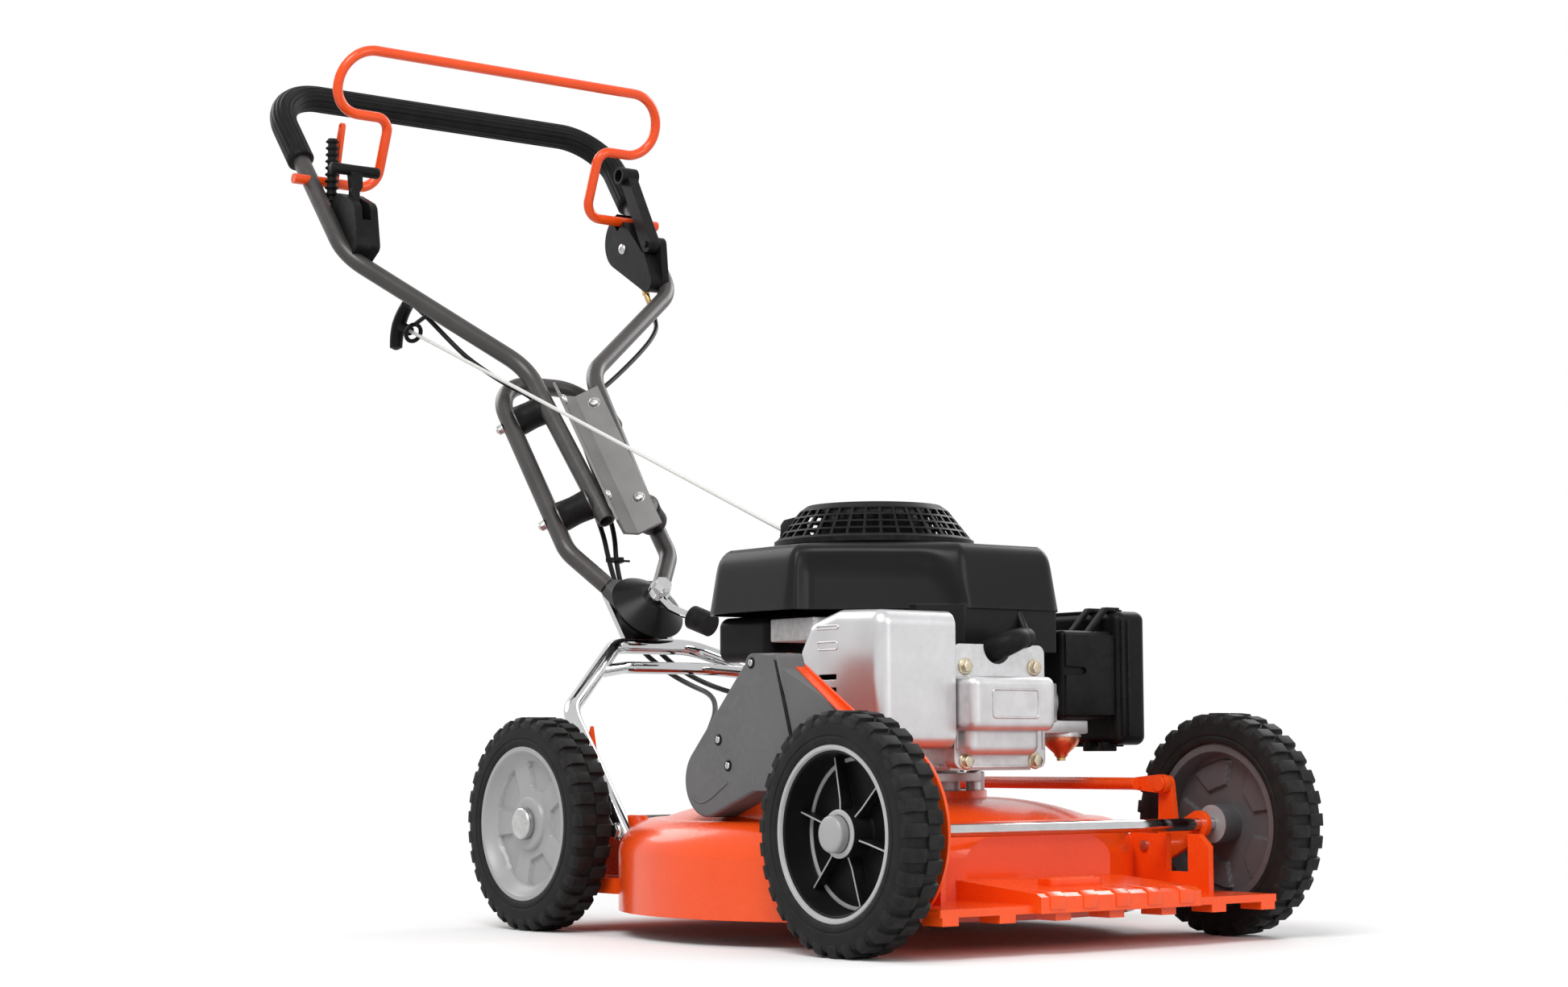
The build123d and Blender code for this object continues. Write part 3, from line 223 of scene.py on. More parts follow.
def makeFinish(name, own):
    look = {**plainLook, **own}
    material = bpy.data.materials.new(name)
    material.use_nodes = True
    tree = material.node_tree
    link = tree.links.new
    shader, bump = tree.nodes["Principled BSDF"], tree.nodes.new("ShaderNodeBump")
    grain, wearAndHighlight, dust = (tree.nodes.new("ShaderNodeGroup") for _ in range(3))
    grain.node_tree, wearAndHighlight.node_tree, dust.node_tree = grainGroup, wearAndHighlightGroup, dustGroup
    base, shade, wearAndHighlightColour = ((*colour, 1) for colour in look["colours"])
    (mottle, fine), (low, high) = look["scales"], look["rough"]
    for node, values in (
            (grain, {"Base": base, "Shade": shade, "Mottle Scale": mottle, "Grain Scale": fine, "Rough Low": low,
                     "Rough High": high}),
            (wearAndHighlight, {"Wear And Highlight Colour": wearAndHighlightColour, "Amount": look["wearAndHighlight"]}),
            (dust, {"Amount": look["dust"]}),
            (bump, {"Strength": bumpStrength, "Distance": look["bump"] * mm}),
            (shader, {"Metallic": look["metal"], "Specular IOR Level": look["specular"], "Coat Weight": look["coat"],
                      "Coat Roughness": look["coatRough"]})):
        for label, value in values.items():
            node.inputs[label].default_value = value
    link(grain.outputs["Colour"], wearAndHighlight.inputs["Colour"])
    link(wearAndHighlight.outputs["Colour"], dust.inputs["Colour"])
    link(dust.outputs["Colour"], shader.inputs["Base Color"])
    link(grain.outputs["Roughness"], shader.inputs["Roughness"])
    link(grain.outputs["Height"], bump.inputs["Height"])
    if look["soft"]:
        edge = tree.nodes.new("ShaderNodeBevel")
        edge.samples = 4
        edge.inputs["Radius"].default_value = look["soft"] * mm
        link(edge.outputs["Normal"], bump.inputs["Normal"])
    link(bump.outputs["Normal"], shader.inputs["Normal"])
    return material


finish = {name: makeFinish(name, own) for name, own in finishes.items()}
print("finishes built:", len(finish))

nodeFinish = {
    "orangePowderCoat": ["deck_shell", "transmission_housing", "front_axle_arms", "rear_axle_arms", "height_link",
                         "height_lever", "bail"],
    "greyTubePaint": ["handle_loop", "handle_bar"],
    "platePaint": ["handle_plate"],
    "chromePlate": ["handle_frame", "front_axle", "clamp_lever", "front_axle_caps"],
    "zincSteel": ["handle_fasteners", "arm_pivots", "crankshaft", "rear_axle_caps"],
    "darkSteel": ["rear_axle", "blade", "blade_holder", "drive_gearcase", "drive_pinion", "muffler",
                  "chassis_fasteners"],
    "castAluminium": ["engine_block", "head_cover", "flywheel"],
    "guardSheet": ["muffler_guard"],
    "copperBowl": ["carburettor"],
    "blackPlastic": ["throttle_housing", "throttle_lever", "drive_housing", "drive_lever", "clamp_lever_cap",
                     "starter_grip", "recoil_grille", "fuel_tank", "fuel_cap", "oil_dipstick", "air_filter_case",
                     "air_filter_cover", "rim_front_right"],
    "shroudPlastic": ["fan_cover", "swivel_discs"],
    "casingPlastic": ["transmission_cover"],
    "wheelPlastic": ["rim_front_left", "rim_rear_right", "rim_rear_left"],
    "tyreRubber": ["tyre_front_right", "tyre_front_left", "tyre_rear_right", "tyre_rear_left"],
    "softRubber": ["vibration_dampers", "grip_sleeve", "bail_boot", "plug_boot"],
    "cableSheath": ["control_cables"],
    "nylonRope": ["starter_rope"],
    "filterPaper": ["air_filter_element"],
}
for finishName, nodeNames in nodeFinish.items():
    for nodeName in nodeNames:
        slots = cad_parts[nodeName].data.materials
        slots.clear()
        slots.append(finish[finishName])
print("solids painted")


def addObject(name, data):
    thing = bpy.data.objects.new(name, data)
    bpy.context.scene.collection.objects.link(thing)
    return thing


# camera at the photograph's viewing angle
view = {"place": (-1.7336, -2.1246, 0.1759), "turn": -37.37, "pitch": 5.25, "roll": -0.23, "lens": 64.24,
        "sensor": 36, "clip": 0.05}
cameraData = bpy.data.cameras.new("camera")
cameraData.lens, cameraData.sensor_width, cameraData.clip_start = view["lens"], view["sensor"], view["clip"]
camera = addObject("camera", cameraData)
camera.matrix_world = (Matrix.Translation(view["place"])
                       @ Matrix.Rotation(radians(view["turn"]), 4, "Z")
                       @ Matrix.Rotation(radians(90 + view["pitch"]), 4, "X")
                       @ Matrix.Rotation(radians(view["roll"]), 4, "Z"))
bpy.context.scene.camera = camera

# pale floor that fades into a white surround, soft lamps
studio = {"floorRadius": 3.0, "fadeStart": 0.75, "fadeEnd": 1.35, "floorTone": (0.86, 0.86, 0.86), "floorRough": 0.9,
          "floorSpecular": 0.1, "surround": 0.5}
lamps = [
    {"name": "keyPanel", "place": (-1.9, -1.3, 2.6), "aim": (0, 0, 0.35), "size": 1.8, "watts": 72},
    {"name": "frontPanel", "place": (0.6, -2.9, 1.5), "aim": (0, 0, 0.3), "size": 1.6, "watts": 26},
    {"name": "farPanel", "place": (2.5, 0.6, 1.9), "aim": (0, 0.1, 0.4), "size": 1.4, "watts": 26},
    {"name": "backPanel", "place": (-0.6, 2.7, 2.1), "aim": (0, 0.2, 0.5), "size": 1.8, "watts": 30},
]


def addShaderMix(tree, factor, first, second, output):
    mix = tree.nodes.new("ShaderNodeMixShader")
    tree.links.new(factor, mix.inputs["Fac"])
    tree.links.new(first.outputs[0], mix.inputs[1])
    tree.links.new(second.outputs[0], mix.inputs[2])
    tree.links.new(mix.outputs[0], output.inputs["Surface"])


def buildStudio():
    bm = bmesh.new()
    bmesh.ops.create_circle(bm, cap_ends=True, segments=96, radius=studio["floorRadius"])
    mesh = bpy.data.meshes.new("studioFloor")
    bm.to_mesh(mesh)
    bm.free()
    addObject("studioFloor", mesh)
    material = bpy.data.materials.new("paleFloor")
    material.use_nodes = True
    tree = material.node_tree
    shader, output = tree.nodes["Principled BSDF"], tree.nodes["Material Output"]
    shader.inputs["Base Color"].default_value = (*studio["floorTone"], 1)
    shader.inputs["Roughness"].default_value = studio["floorRough"]
    shader.inputs["Specular IOR Level"].default_value = studio["floorSpecular"]
    coords, length = tree.nodes.new("ShaderNodeTexCoord"), tree.nodes.new("ShaderNodeVectorMath")
    length.operation = "LENGTH"
    tree.links.new(coords.outputs["Object"], length.inputs[0])
    fade = addRange(tree, length.outputs["Value"], studio["fadeStart"], studio["fadeEnd"])
    fade.interpolation_type = "SMOOTHSTEP"
    clear = tree.nodes.new("ShaderNodeBsdfTransparent")
    addShaderMix(tree, fade.outputs[0], shader, clear, output)
    mesh.materials.append(material)


def buildSurround():
    world = bpy.data.worlds.new("whiteSurround")
    bpy.context.scene.world = world
    world.use_nodes = True
    tree = world.node_tree
    sky, white = tree.nodes["Background"], tree.nodes.new("ShaderNodeBackground")
    sky.inputs["Strength"].default_value = studio["surround"]
    for background in (sky, white):
        background.inputs["Color"].default_value = (1, 1, 1, 1)
    rays = tree.nodes.new("ShaderNodeLightPath").outputs
    either = addMath(tree, "MAXIMUM", rays["Is Camera Ray"], rays["Is Glossy Ray"])
    seen = addMath(tree, "MAXIMUM", either, rays["Is Transmission Ray"])
    addShaderMix(tree, seen, sky, white, tree.nodes["World Output"])


def buildLamp(name, place, aim, size, watts):
    data = bpy.data.lights.new(name, "AREA")
    data.shape = "DISK"
    data.size = size
    data.energy = watts
    lamp = addObject(name, data)
    lamp.location = place
    lamp.rotation_euler = (Vector(aim) - Vector(place)).to_track_quat("-Z", "Y").to_euler()


buildStudio()
buildSurround()
for lamp in lamps:
    buildLamp(**lamp)
bpy.context.scene.view_settings.view_transform = "Standard"
print("studio ready")


# pieces
def setPiece(piece, body, slotName, finishName, *nodes):
    piece.data.materials.clear()
    piece.data.materials.append(finish[finishName])
    if body:
        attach(piece, body)
    if nodes:
        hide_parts(*nodes)
    return piece


def meshPiece(name, bm, smooth):
    mesh = bpy.data.meshes.new(name)
    bmesh.ops.recalc_face_normals(bm, faces=bm.faces[:])
    bm.to_mesh(mesh)
    bm.free()
    mesh.shade_smooth()
    mesh.set_sharp_from_angle(angle=radians(smooth))
    return addObject(name, mesh)


def makePiece(name, bm, body, slotName, finishName, *nodes, smooth=40):
    return setPiece(meshPiece(name, bm, smooth), body, slotName, finishName, *nodes)


# handle frame of reference: x across, s up along the handle, n off its front face, in millimetres
handleStud = Vector((0, 374, 345))
handleTilt = radians(52)
alongHandle = Vector((0, cos(handleTilt), sin(handleTilt)))
offHandle = Vector((0, -sin(handleTilt), cos(handleTilt)))
handlePlace = toMetres @ Matrix(((1, 0, 0, 0), (0, alongHandle.y, offHandle.y, handleStud.y),
                                 (0, alongHandle.z, offHandle.z, handleStud.z), (0, 0, 0, 1)))


def onHandle(x, s, n):
    return (handleStud + Vector((x, 0, 0)) + alongHandle * s + offHandle * n) * mm


def meshOf(curve):
    bpy.context.view_layer.update()
    graph = bpy.context.evaluated_depsgraph_get()
    return bpy.data.meshes.new_from_object(curve.evaluated_get(graph))


def tubeFromRoute(name, points, radius):
    # round tube along a spline through the points, and its middle line
    data = bpy.data.curves.new(name + "Route", "CURVE")
    data.dimensions = "3D"
    data.resolution_u = 12
    data.bevel_resolution = 5
    spline = data.splines.new("NURBS")
    spline.points.add(len(points) - 1)
    for point, place in zip(spline.points, points):
        point.co = (*place, 1)
    spline.order_u = 3
    spline.use_endpoint_u = True
    route = addObject(name + "Route", data)
    line = [vertex.co.copy() for vertex in meshOf(route).vertices]
    data.bevel_depth = radius
    data.use_fill_caps = True
    mesh = meshOf(route)
    mesh.name = name
    bpy.data.objects.remove(route)
    mesh.shade_smooth()
    return addObject(name, mesh), line


def runLength(line):
    return sum((b - a).length for a, b in zip(line, line[1:]))


# starter rope, taut from the recoil housing to the ring on the handle
rope = {"outlet": (-60, 64, 391), "ring": (-139, 423, -37), "radius": 2.0, "pastRing": 6,
        "stops": (0, 0.02, 0.35, 0.7, 0.98, 1)}
ropeStart = Vector(rope["outlet"]) * mm
ropeRing = onHandle(*rope["ring"])
ropeDirection = (ropeRing - ropeStart).normalized()
ropeEnd = ropeRing + ropeDirection * rope["pastRing"] * mm
starterRope, ropeLine = tubeFromRoute("starterRope", [ropeStart.lerp(ropeEnd, t) for t in rope["stops"]],
                                      rope["radius"] * mm)
setPiece(starterRope, None, "rope_nylon", "nylonRope", "starter_rope")
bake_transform(starterRope)
print("starter rope laid")


# mesh helpers, in millimetres unless said
def addRings(bm, rings, closed=False):
    pairs = list(zip(rings, rings[1:])) + ([(rings[-1], rings[0])] if closed else [])
    for first, second in pairs:
        for i, corner in enumerate(first):
            j = (i + 1) % len(first)
            bm.faces.new((corner, first[j], second[j], second[i]))


def turnedRing(bm, x, r, count, place, depth):
    ring = []
    for i in range(count):
        angle = 2 * pi * i / count
        sunk = depth(r, angle) if depth else 0
        ring.append(bm.verts.new(place @ Vector((x - sunk, r * cos(angle), r * sin(angle)))))
    return ring


def addTurned(bm, outline, count, place, closed=False, depth=None):
    # outline of (x, radius) turned about X, sunk along X where depth(radius, angle) says so
    rings = [turnedRing(bm, x, max(r, 0.02), count, place, depth) for x, r in outline]
    addRings(bm, rings, closed)
    if not closed:
        for ring in (rings[0], rings[-1]):
            bm.faces.new(ring)


def addDisc(bm, low, high, radius, count, place):
    addTurned(bm, [(low, 0), (low, radius), (high, radius), (high, 0)], count, place)


def addPrism(bm, outline, low, high, place, bevel=0.0):
    # outline of (y, z) corners, from low to high along X, with its edges bevelled
    part = bmesh.new()
    ends = [[part.verts.new((x, y, z)) for y, z in outline] for x in (low, high)]
    for end in ends:
        part.faces.new(end)
    addRings(part, ends)
    if bevel:
        bmesh.ops.bevel(part, geom=part.edges[:], offset=bevel, segments=2, affect="EDGES", profile=0.6)
    bmesh.ops.transform(part, matrix=place, verts=part.verts[:])
    bmesh.ops.recalc_face_normals(part, faces=part.faces[:])
    scratch = bpy.data.meshes.new("scratch")
    part.to_mesh(scratch)
    part.free()
    bm.from_mesh(scratch)
    bpy.data.meshes.remove(scratch)


def addBlock(bm, low, high, place, bevel):
    corners = [(low[1], low[2]), (high[1], low[2]), (high[1], high[2]), (low[1], high[2])]
    addPrism(bm, corners, low[0], high[0], place, bevel)


def addHex(bm, low, high, across, place, bevel):
    corner = across / 2 / cos(pi / 6)
    outline = [(corner * cos(pi / 3 * i), corner * sin(pi / 3 * i)) for i in range(6)]
    addPrism(bm, outline, low, high, place, bevel)


def facing(place, direction):
    # X of the returned matrix points along direction, from place
    turn = Vector(direction).to_track_quat("X", "Z").to_matrix().to_4x4()
    return Matrix.Translation(place) @ turn


def at(place, direction):
    return toMetres @ facing(Vector(place), direction)


def sheetAt(place, *axes):
    # X, Y and Z of the returned matrix point along the axes, from place
    sheet = Matrix(axes).transposed().to_4x4()
    sheet.translation = place
    return sheet


def spin(i, count, axis="X"):
    return Matrix.Rotation(2 * pi * i / count, 4, axis)


def roundedPath(points, radius, step):
    # corners of a bent tube rounded to their bend radius
    points = [Vector(p) for p in points]
    path = [points[0]]
    for before, corner, after in zip(points, points[1:], points[2:]):
        inward, outward = (before - corner).normalized(), (after - corner).normalized()
        half = inward.angle(outward) / 2
        reach = radius / tan(half)
        centre = corner + (inward + outward).normalized() * (radius / sin(half))
        start, end = corner + inward * reach - centre, corner + outward * reach - centre
        turns = max(4, int(radius * start.angle(end) / step))
        path += [centre + start.normalized().slerp(end.normalized(), i / turns) * radius for i in range(turns + 1)]
    return path + [points[-1]]


def addSweep(bm, path, radius, count, side, place):
    # radius(share of the length, angle) about a path that lies in the plane square to side
    total = runLength(path)
    rings, gone = [], 0.0
    for i, point in enumerate(path):
        before, after = path[max(i - 1, 0)], path[min(i + 1, len(path) - 1)]
        across = (after - before).normalized().cross(side).normalized()
        if i:
            gone += (point - path[i - 1]).length
        ring = []
        for k in range(count):
            angle = 2 * pi * k / count
            reach = radius(gone / total, angle)
            ring.append(bm.verts.new(place @ (point + across * (reach * cos(angle)) + side * (reach * sin(angle)))))
        rings.append(ring)
    addRings(bm, rings)
    bm.faces.new(rings[0])
    bm.faces.new(rings[-1])


def smoothStep(value, low, high):
    t = min(max((value - low) / (high - low), 0), 1)
    return t * t * (3 - 2 * t)


# wheels: outer side towards +X, then set on the hub of their node
upright = Matrix(((0, 1, 0, 0), (1, 0, 0, 0), (0, 0, 1, 0), (0, 0, 0, 1)))
standing = Matrix(((0, 1, 0, 0), (0, 0, 1, 0), (1, 0, 0, 0), (0, 0, 0, 1)))
tyre = {"radius": 105.0, "crown": 101.8, "lugs": 31, "lugShare": 0.54, "lugBevel": 0.6,
        "side": [(19, 76), (20.6, 77.5), (21, 80), (21, 82), (20.4, 82.6), (20.4, 84), (21, 84.6), (21, 90),
                 (20.6, 94), (19.6, 98.4), (16, 101.2)],
        "lug": [(0.9, 98), (0.9, 105), (16.8, 105), (19.8, 101.6), (21, 94), (18.4, 94)]}


def wheelPlace(node):
    low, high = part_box(node)
    centre = (low + high) / 2
    turn = Matrix.Rotation(0 if centre.x > 0 else pi, 4, "Z")
    return Matrix.Translation(centre) @ turn


def buildTyre():
    bm = bmesh.new()
    outline = [(-x, r) for x, r in tyre["side"]] + [(0, tyre["crown"])] + tyre["side"][::-1]
    addTurned(bm, outline, 132, toMetres, closed=True)
    half = tyre["radius"] * 2 * pi / tyre["lugs"] * tyre["lugShare"] / 2
    for row, shift in ((-1, 0), (1, 0.5)):
        # the section lies in x and r, and is drawn out along the tread
        section = [(row * x, r) for x, r in tyre["lug"]]
        for i in range(tyre["lugs"]):
            turn = toMetres @ spin(i + shift, tyre["lugs"])
            addPrism(bm, section, -half, half, turn @ upright, tyre["lugBevel"])
    return bm


dish = {"pockets": 5, "inner": 34.0, "outer": 60.5, "innerHalf": 12.0, "outerHalf": 27.0, "sunk": 3.6, "slope": 1.8,
        "pocketed": (28.5, 61.0), "count": 300,
        "lip": [(20, 75.4), (20, 71.4), (19.4, 70.7), (16.6, 69.2), (10.6, 63.4), (9.3, 61.6)],
        "face": [(9, 60.5 - 1.1 * i) for i in range(29)],
        "hub": [(9.6, 27.6), (12.6, 26.4), (13.6, 25.2), (14, 23), (14, 17), (14, 6.1), (-22, 6.1), (-22, 18), (1, 18)],
        "web": [20 + 1.15 * i for i in range(39)],
        "barrel": [(1, 66), (-17, 69), (-17, 75.4), (-16.4, 76), (19.4, 76)]}


def pocketDepth(r, angle):
    low, high = dish["pocketed"]
    if not low < r < high:
        return 0
    spacing = 2 * pi / dish["pockets"]
    away = (angle + spacing / 2) % spacing - spacing / 2
    out, across = r * cos(away), abs(r * sin(away))
    share = (out - dish["inner"]) / (dish["outer"] - dish["inner"])
    half = dish["innerHalf"] + share * (dish["outerHalf"] - dish["innerHalf"])
    inside = min(out - dish["inner"], dish["outer"] - out, half - across)
    return dish["sunk"] * smoothStep(inside, 0, dish["slope"])


def buildDishRim():
    bm = bmesh.new()
    outline = dish["lip"] + dish["face"] + dish["hub"] + [(1, r) for r in dish["web"]] + dish["barrel"]
    addTurned(bm, outline, dish["count"], toMetres, closed=True, depth=pocketDepth)
    return bm


# painted shade: a dark skin on the inward side, over hub, web, barrel and lip, darkening the grey rim where it sits in
# shadow
rimPaintedShade = {"front": 0.4, "behind": 1.4, "hub": [(-21.9, 18.6), (0.4, 18.6)], "inHub": [(1.4, 17.8), (-21.9, 17.8)],
           "lip": [(0.4, 65.5), (-17.5, 68.4), (-17.5, 75.2), (-16.6, 75.2), (-16.6, 69.2), (1.4, 66.2)]}


def buildRimShadeSkin():
    bm = bmesh.new()
    skin = rimPaintedShade["hub"] + [(rimPaintedShade["front"], r) for r in dish["web"]] + rimPaintedShade["lip"]
    inside = [(rimPaintedShade["behind"], r) for r in reversed(dish["web"])] + rimPaintedShade["inHub"]
    addTurned(bm, skin + inside, dish["count"], toMetres, closed=True, depth=pocketDepth)
    return bm


drive = {"webFront": -9.5, "webBack": -11.5, "back": -20.0, "ribs": 6, "ribShift": 0.25, "ribThick": 2.0, "hub": 20.5,
         "teeth": 60, "toothTip": 58.4, "toothRoot": 62.5, "ribEdge": [(5.5, 18), (3.5, 30), (1.5, 67.6)],
         "ribHighlight": [(5, 20), (5.9, 20), (3.9, 30), (1.9, 67), (1, 67), (3, 30)], "ribHighlightHalf": 0.7,
         "rimLip": [(16.6, 76), (19.2, 76), (20, 75.2), (20, 72.4), (19.2, 71.6), (16.6, 71)]}


def driveRibTurns():
    return [toMetres @ spin(i + drive["ribShift"], drive["ribs"]) @ upright for i in range(drive["ribs"])]


def buildDriveBarrel():
    bm = bmesh.new()
    front, webBack, back, hub, root = (drive[key] for key in ("webFront", "webBack", "back", "hub", "toothRoot"))
    outline = [(17.2, 75.8), (17.2, 70), (16.4, 69), (front + 2, 67.2), (front, 65.5), (front, hub + 3),
               (front + 3, hub + 0.4), (11.4, hub), (12, 6.1), (back, 6.1), (back, 14), (webBack, 14),
               (webBack, root), (back, root), (back, 75.8)]
    addTurned(bm, outline, 120, toMetres, closed=True)
    half = drive["ribThick"] / 2
    blade = [(front - 1, 18)] + drive["ribEdge"] + [(front - 1, 67.6)]
    for turn in driveRibTurns():
        addPrism(bm, blade, -half, half, turn, 0.4)
    tooth = [(-1.5, 63), (-0.6, drive["toothTip"]), (0.6, drive["toothTip"]), (1.5, 63)]
    for i in range(drive["teeth"]):
        addPrism(bm, tooth, back, webBack + 0.5, toMetres @ spin(i, drive["teeth"]))
    return bm


# lighter grey rings round the hub, the web and the rim edge, and a strip of painted highlight along each rib's edge
def buildDriveRimEdgesAndHighlights():
    bm = bmesh.new()
    hub, web, half = drive["hub"], drive["webFront"], drive["ribHighlightHalf"]
    hubRing = [(11, hub + 0.3), (11.8, hub + 0.3), (12.6, hub - 0.8), (12.6, 16.4), (11, 16.4)]
    webRing = [(web - 0.5, 66), (web + 1.2, 65.6), (web + 1.6, 64), (web + 1.2, 62.4), (web - 0.5, 62)]
    addTurned(bm, hubRing, 72, toMetres, closed=True)
    addTurned(bm, webRing, 96, toMetres, closed=True)
    for turn in driveRibTurns():
        addPrism(bm, drive["ribHighlight"], -half, half, turn)
    addTurned(bm, drive["rimLip"], 120, toMetres, closed=True)
    return bm


def setWheelPart(name, form, corner, slotName, finishName, *nodes):
    piece = addObject(name, form.data)
    piece.matrix_world = wheelPlace("tyre_" + corner)
    setPiece(piece, "wheel_" + corner, slotName, finishName, *nodes)


forms = {name: meshPiece(name + "Form", build(), 40) for name, build in (
    ("tyre", buildTyre), ("dish", buildDishRim), ("back", buildRimShadeSkin), ("barrel", buildDriveBarrel),
    ("lip", buildDriveRimEdgesAndHighlights))}
for corner in ("front_right", "front_left", "rear_right", "rear_left"):
    setWheelPart("tyre." + corner, forms["tyre"], corner, "tyre_rubber", "tyreRubber", "tyre_" + corner)
    if corner == "front_right":
        setWheelPart("driveRim", forms["barrel"], corner, "drive_rim_plastic", "blackPlastic", "rim_" + corner)
        # lighter grey edge rings, with strips of painted highlight on the ribs
        setWheelPart("driveRimLip", forms["lip"], corner, "rim_plastic", "rimEdgeAndRibHighlight")
    else:
        setWheelPart("rim." + corner, forms["dish"], corner, "rim_plastic", "wheelPlastic", "rim_" + corner)
        # the rim's inward side covered in a dark skin of painted shade
        setWheelPart("rimPaintedShade." + corner, forms["back"], corner, "drive_rim_plastic", "rimPaintedShade")
for form in forms.values():
    bpy.data.objects.remove(form)
print("wheels built")

# axle caps, domed and pressed on
cap = {"radius": 16.0, "bore": 6.2, "inner": 14.5, "driveInner": 12.5,
       "dome": [(21.6, 15.2), (22.6, 13.4), (23, 11), (23, 0)]}


def buildCap(name, body, corner, finishName):
    inner, r = cap["driveInner"] if corner == "front_right" else cap["inner"], cap["radius"]
    outline = [(inner, cap["bore"]), (inner, r - 0.6), (inner + 0.6, r), (20, r)] + cap["dome"]
    bm = bmesh.new()
    addTurned(bm, outline, 56, wheelPlace("tyre_" + corner) @ toMetres)
    makePiece(name + "." + corner, bm, body, "chrome", finishName, name, smooth=50)


buildCap("front_axle_caps", "front_axle_body", "front_right", "wheelPlastic")
buildCap("front_axle_caps", "front_axle_body", "front_left", "zincSteel")
buildCap("rear_axle_caps", "rear_axle_body", "rear_right", "zincSteel")
buildCap("rear_axle_caps", "rear_axle_body", "rear_left", "zincSteel")
print("axle caps built")

# grip: ribbed rubber over the bar, in the handle's own plane, with a smooth cuff at each end
grip = {"radius": 15.2, "ribDepth": 1.3, "ribs": 18, "startS": 648.0, "barS": 770.0, "halfWidth": 236.0,
        "startX": 231.2, "bend": 62.0, "n": 9.0, "length": 640.0, "cuff": 5.0, "cuffRise": 0.6, "endRound": 1.2,
        "roundOver": 1.5, "endStops": (0, 0.03, 0.18, 0.2)}


def gripRadius(share, angle):
    edge = min(share, 1 - share) * grip["length"]
    rounding = grip["endRound"] * smoothStep(grip["roundOver"] - edge, 0, grip["roundOver"])
    if edge < grip["cuff"]:
        return grip["radius"] + grip["cuffRise"] - rounding
    return grip["radius"] + grip["ribDepth"] * (abs(cos(grip["ribs"] * angle / 2)) ** 0.7 - 0.55) - rounding


def buildGrip():
    points = [(-grip["startX"], grip["startS"]), (-grip["halfWidth"], grip["barS"]),
              (grip["halfWidth"], grip["barS"]), (grip["startX"], grip["startS"])]
    path = roundedPath([(x, s, grip["n"]) for x, s in points], grip["bend"], 4)
    lead = [path[0].lerp(path[1], t) for t in grip["endStops"]]
    tail = [path[-1].lerp(path[-2], t) for t in reversed(grip["endStops"])]
    bm = bmesh.new()
    addSweep(bm, lead + path[1:-1] + tail, gripRadius, 96, Vector((0, 0, 1)), handlePlace)
    makePiece("gripSleeve", bm, "handle", "black_rubber", "softRubber", "grip_sleeve", smooth=60)


buildGrip()

# ribbed boot over the bail's cable end
boot = {"start": (-214, 572, 3), "end": (-214, 638, 56), "ribs": 11, "valley": 5.6, "crest": 8.6, "collar": 6.4,
        "bore": 2.2, "taper": 0.12, "firstFold": 0.12,
        "fold": [(0, "valley", 0), (0.18, "valley", 0.3), (0.36, "crest", -0.3), (0.46, "crest", 0),
                 (0.56, "crest", -0.3), (0.76, "valley", 0.3)]}


def buildBoot():
    start, end = Vector(boot["start"]), Vector(boot["end"])
    length, ribs = (end - start).length, boot["ribs"]
    outline = [(0, boot["bore"]), (0, boot["collar"])]
    for i in range(ribs):
        base = length * (i + boot["firstFold"]) / ribs
        taper = 1 - boot["taper"] * i / ribs
        outline += [(base + share * length / ribs, boot[level] * taper + more) for share, level, more in boot["fold"]]
    outline += [(length, boot["valley"]), (length, boot["bore"])]
    bm = bmesh.new()
    addTurned(bm, outline, 40, handlePlace @ facing(start, end - start), closed=True)
    piece = makePiece("bailBoot", bm, None, "black_rubber", "softRubber", "bail_boot", smooth=60)
    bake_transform(piece)


buildBoot()
print("grip and boot built")

# throttle lever: a round tee on a stem that flares above the housing's slot
throttleTee = {"centre": (-203, 585, 57), "half": 31.0, "radius": 6.8, "waist": 6.3, "pivot": (-206.5, 530, 28),
               "eye": 5.5, "bore": 3.2, "stem": 4.5, "flareFrom": 35.0, "flare": 8.0, "thick": 4.8}


def buildThrottleTee():
    half, radius, waist, stem, flare, low, thick, eye, bore = (throttleTee[key] for key in (
        "half", "radius", "waist", "stem", "flare", "flareFrom", "thick", "eye", "bore"))
    pivot, centre = Vector(throttleTee["pivot"]), Vector(throttleTee["centre"])
    bm = bmesh.new()
    bar = [(half, radius - 2.4), (half - 0.6, radius - 0.9), (half - 2.2, radius), (half - 10, waist + 0.2)]
    outline = [(-x, r) for x, r in bar] + [(0, waist)] + bar[::-1]
    addTurned(bm, outline, 40, handlePlace @ Matrix.Translation(centre))
    across = Vector((1, 0, 0))
    lean = (centre - pivot).dot(across)
    along = (centre - pivot) - across * lean
    reach, along = along.length, along.normalized()
    blade = [(0, -stem), (low, -stem), (low + 6, lean - flare + 1.5), (reach, lean - flare), (reach, lean + flare),
             (low + 6, lean + flare - 1.5), (low, stem), (0, stem)]
    addPrism(bm, blade, -thick, thick, handlePlace @ sheetAt(pivot, along.cross(across), along, across), 0.8)
    ring = [(-stem, bore), (-stem, eye), (stem, eye), (stem, bore)]
    addTurned(bm, ring, 32, handlePlace @ Matrix.Translation(pivot), closed=True)
    makePiece("throttleTee", bm, "throttle", "black_plastic", "blackPlastic", "throttle_lever")


buildThrottleTee()
print("throttle lever built")

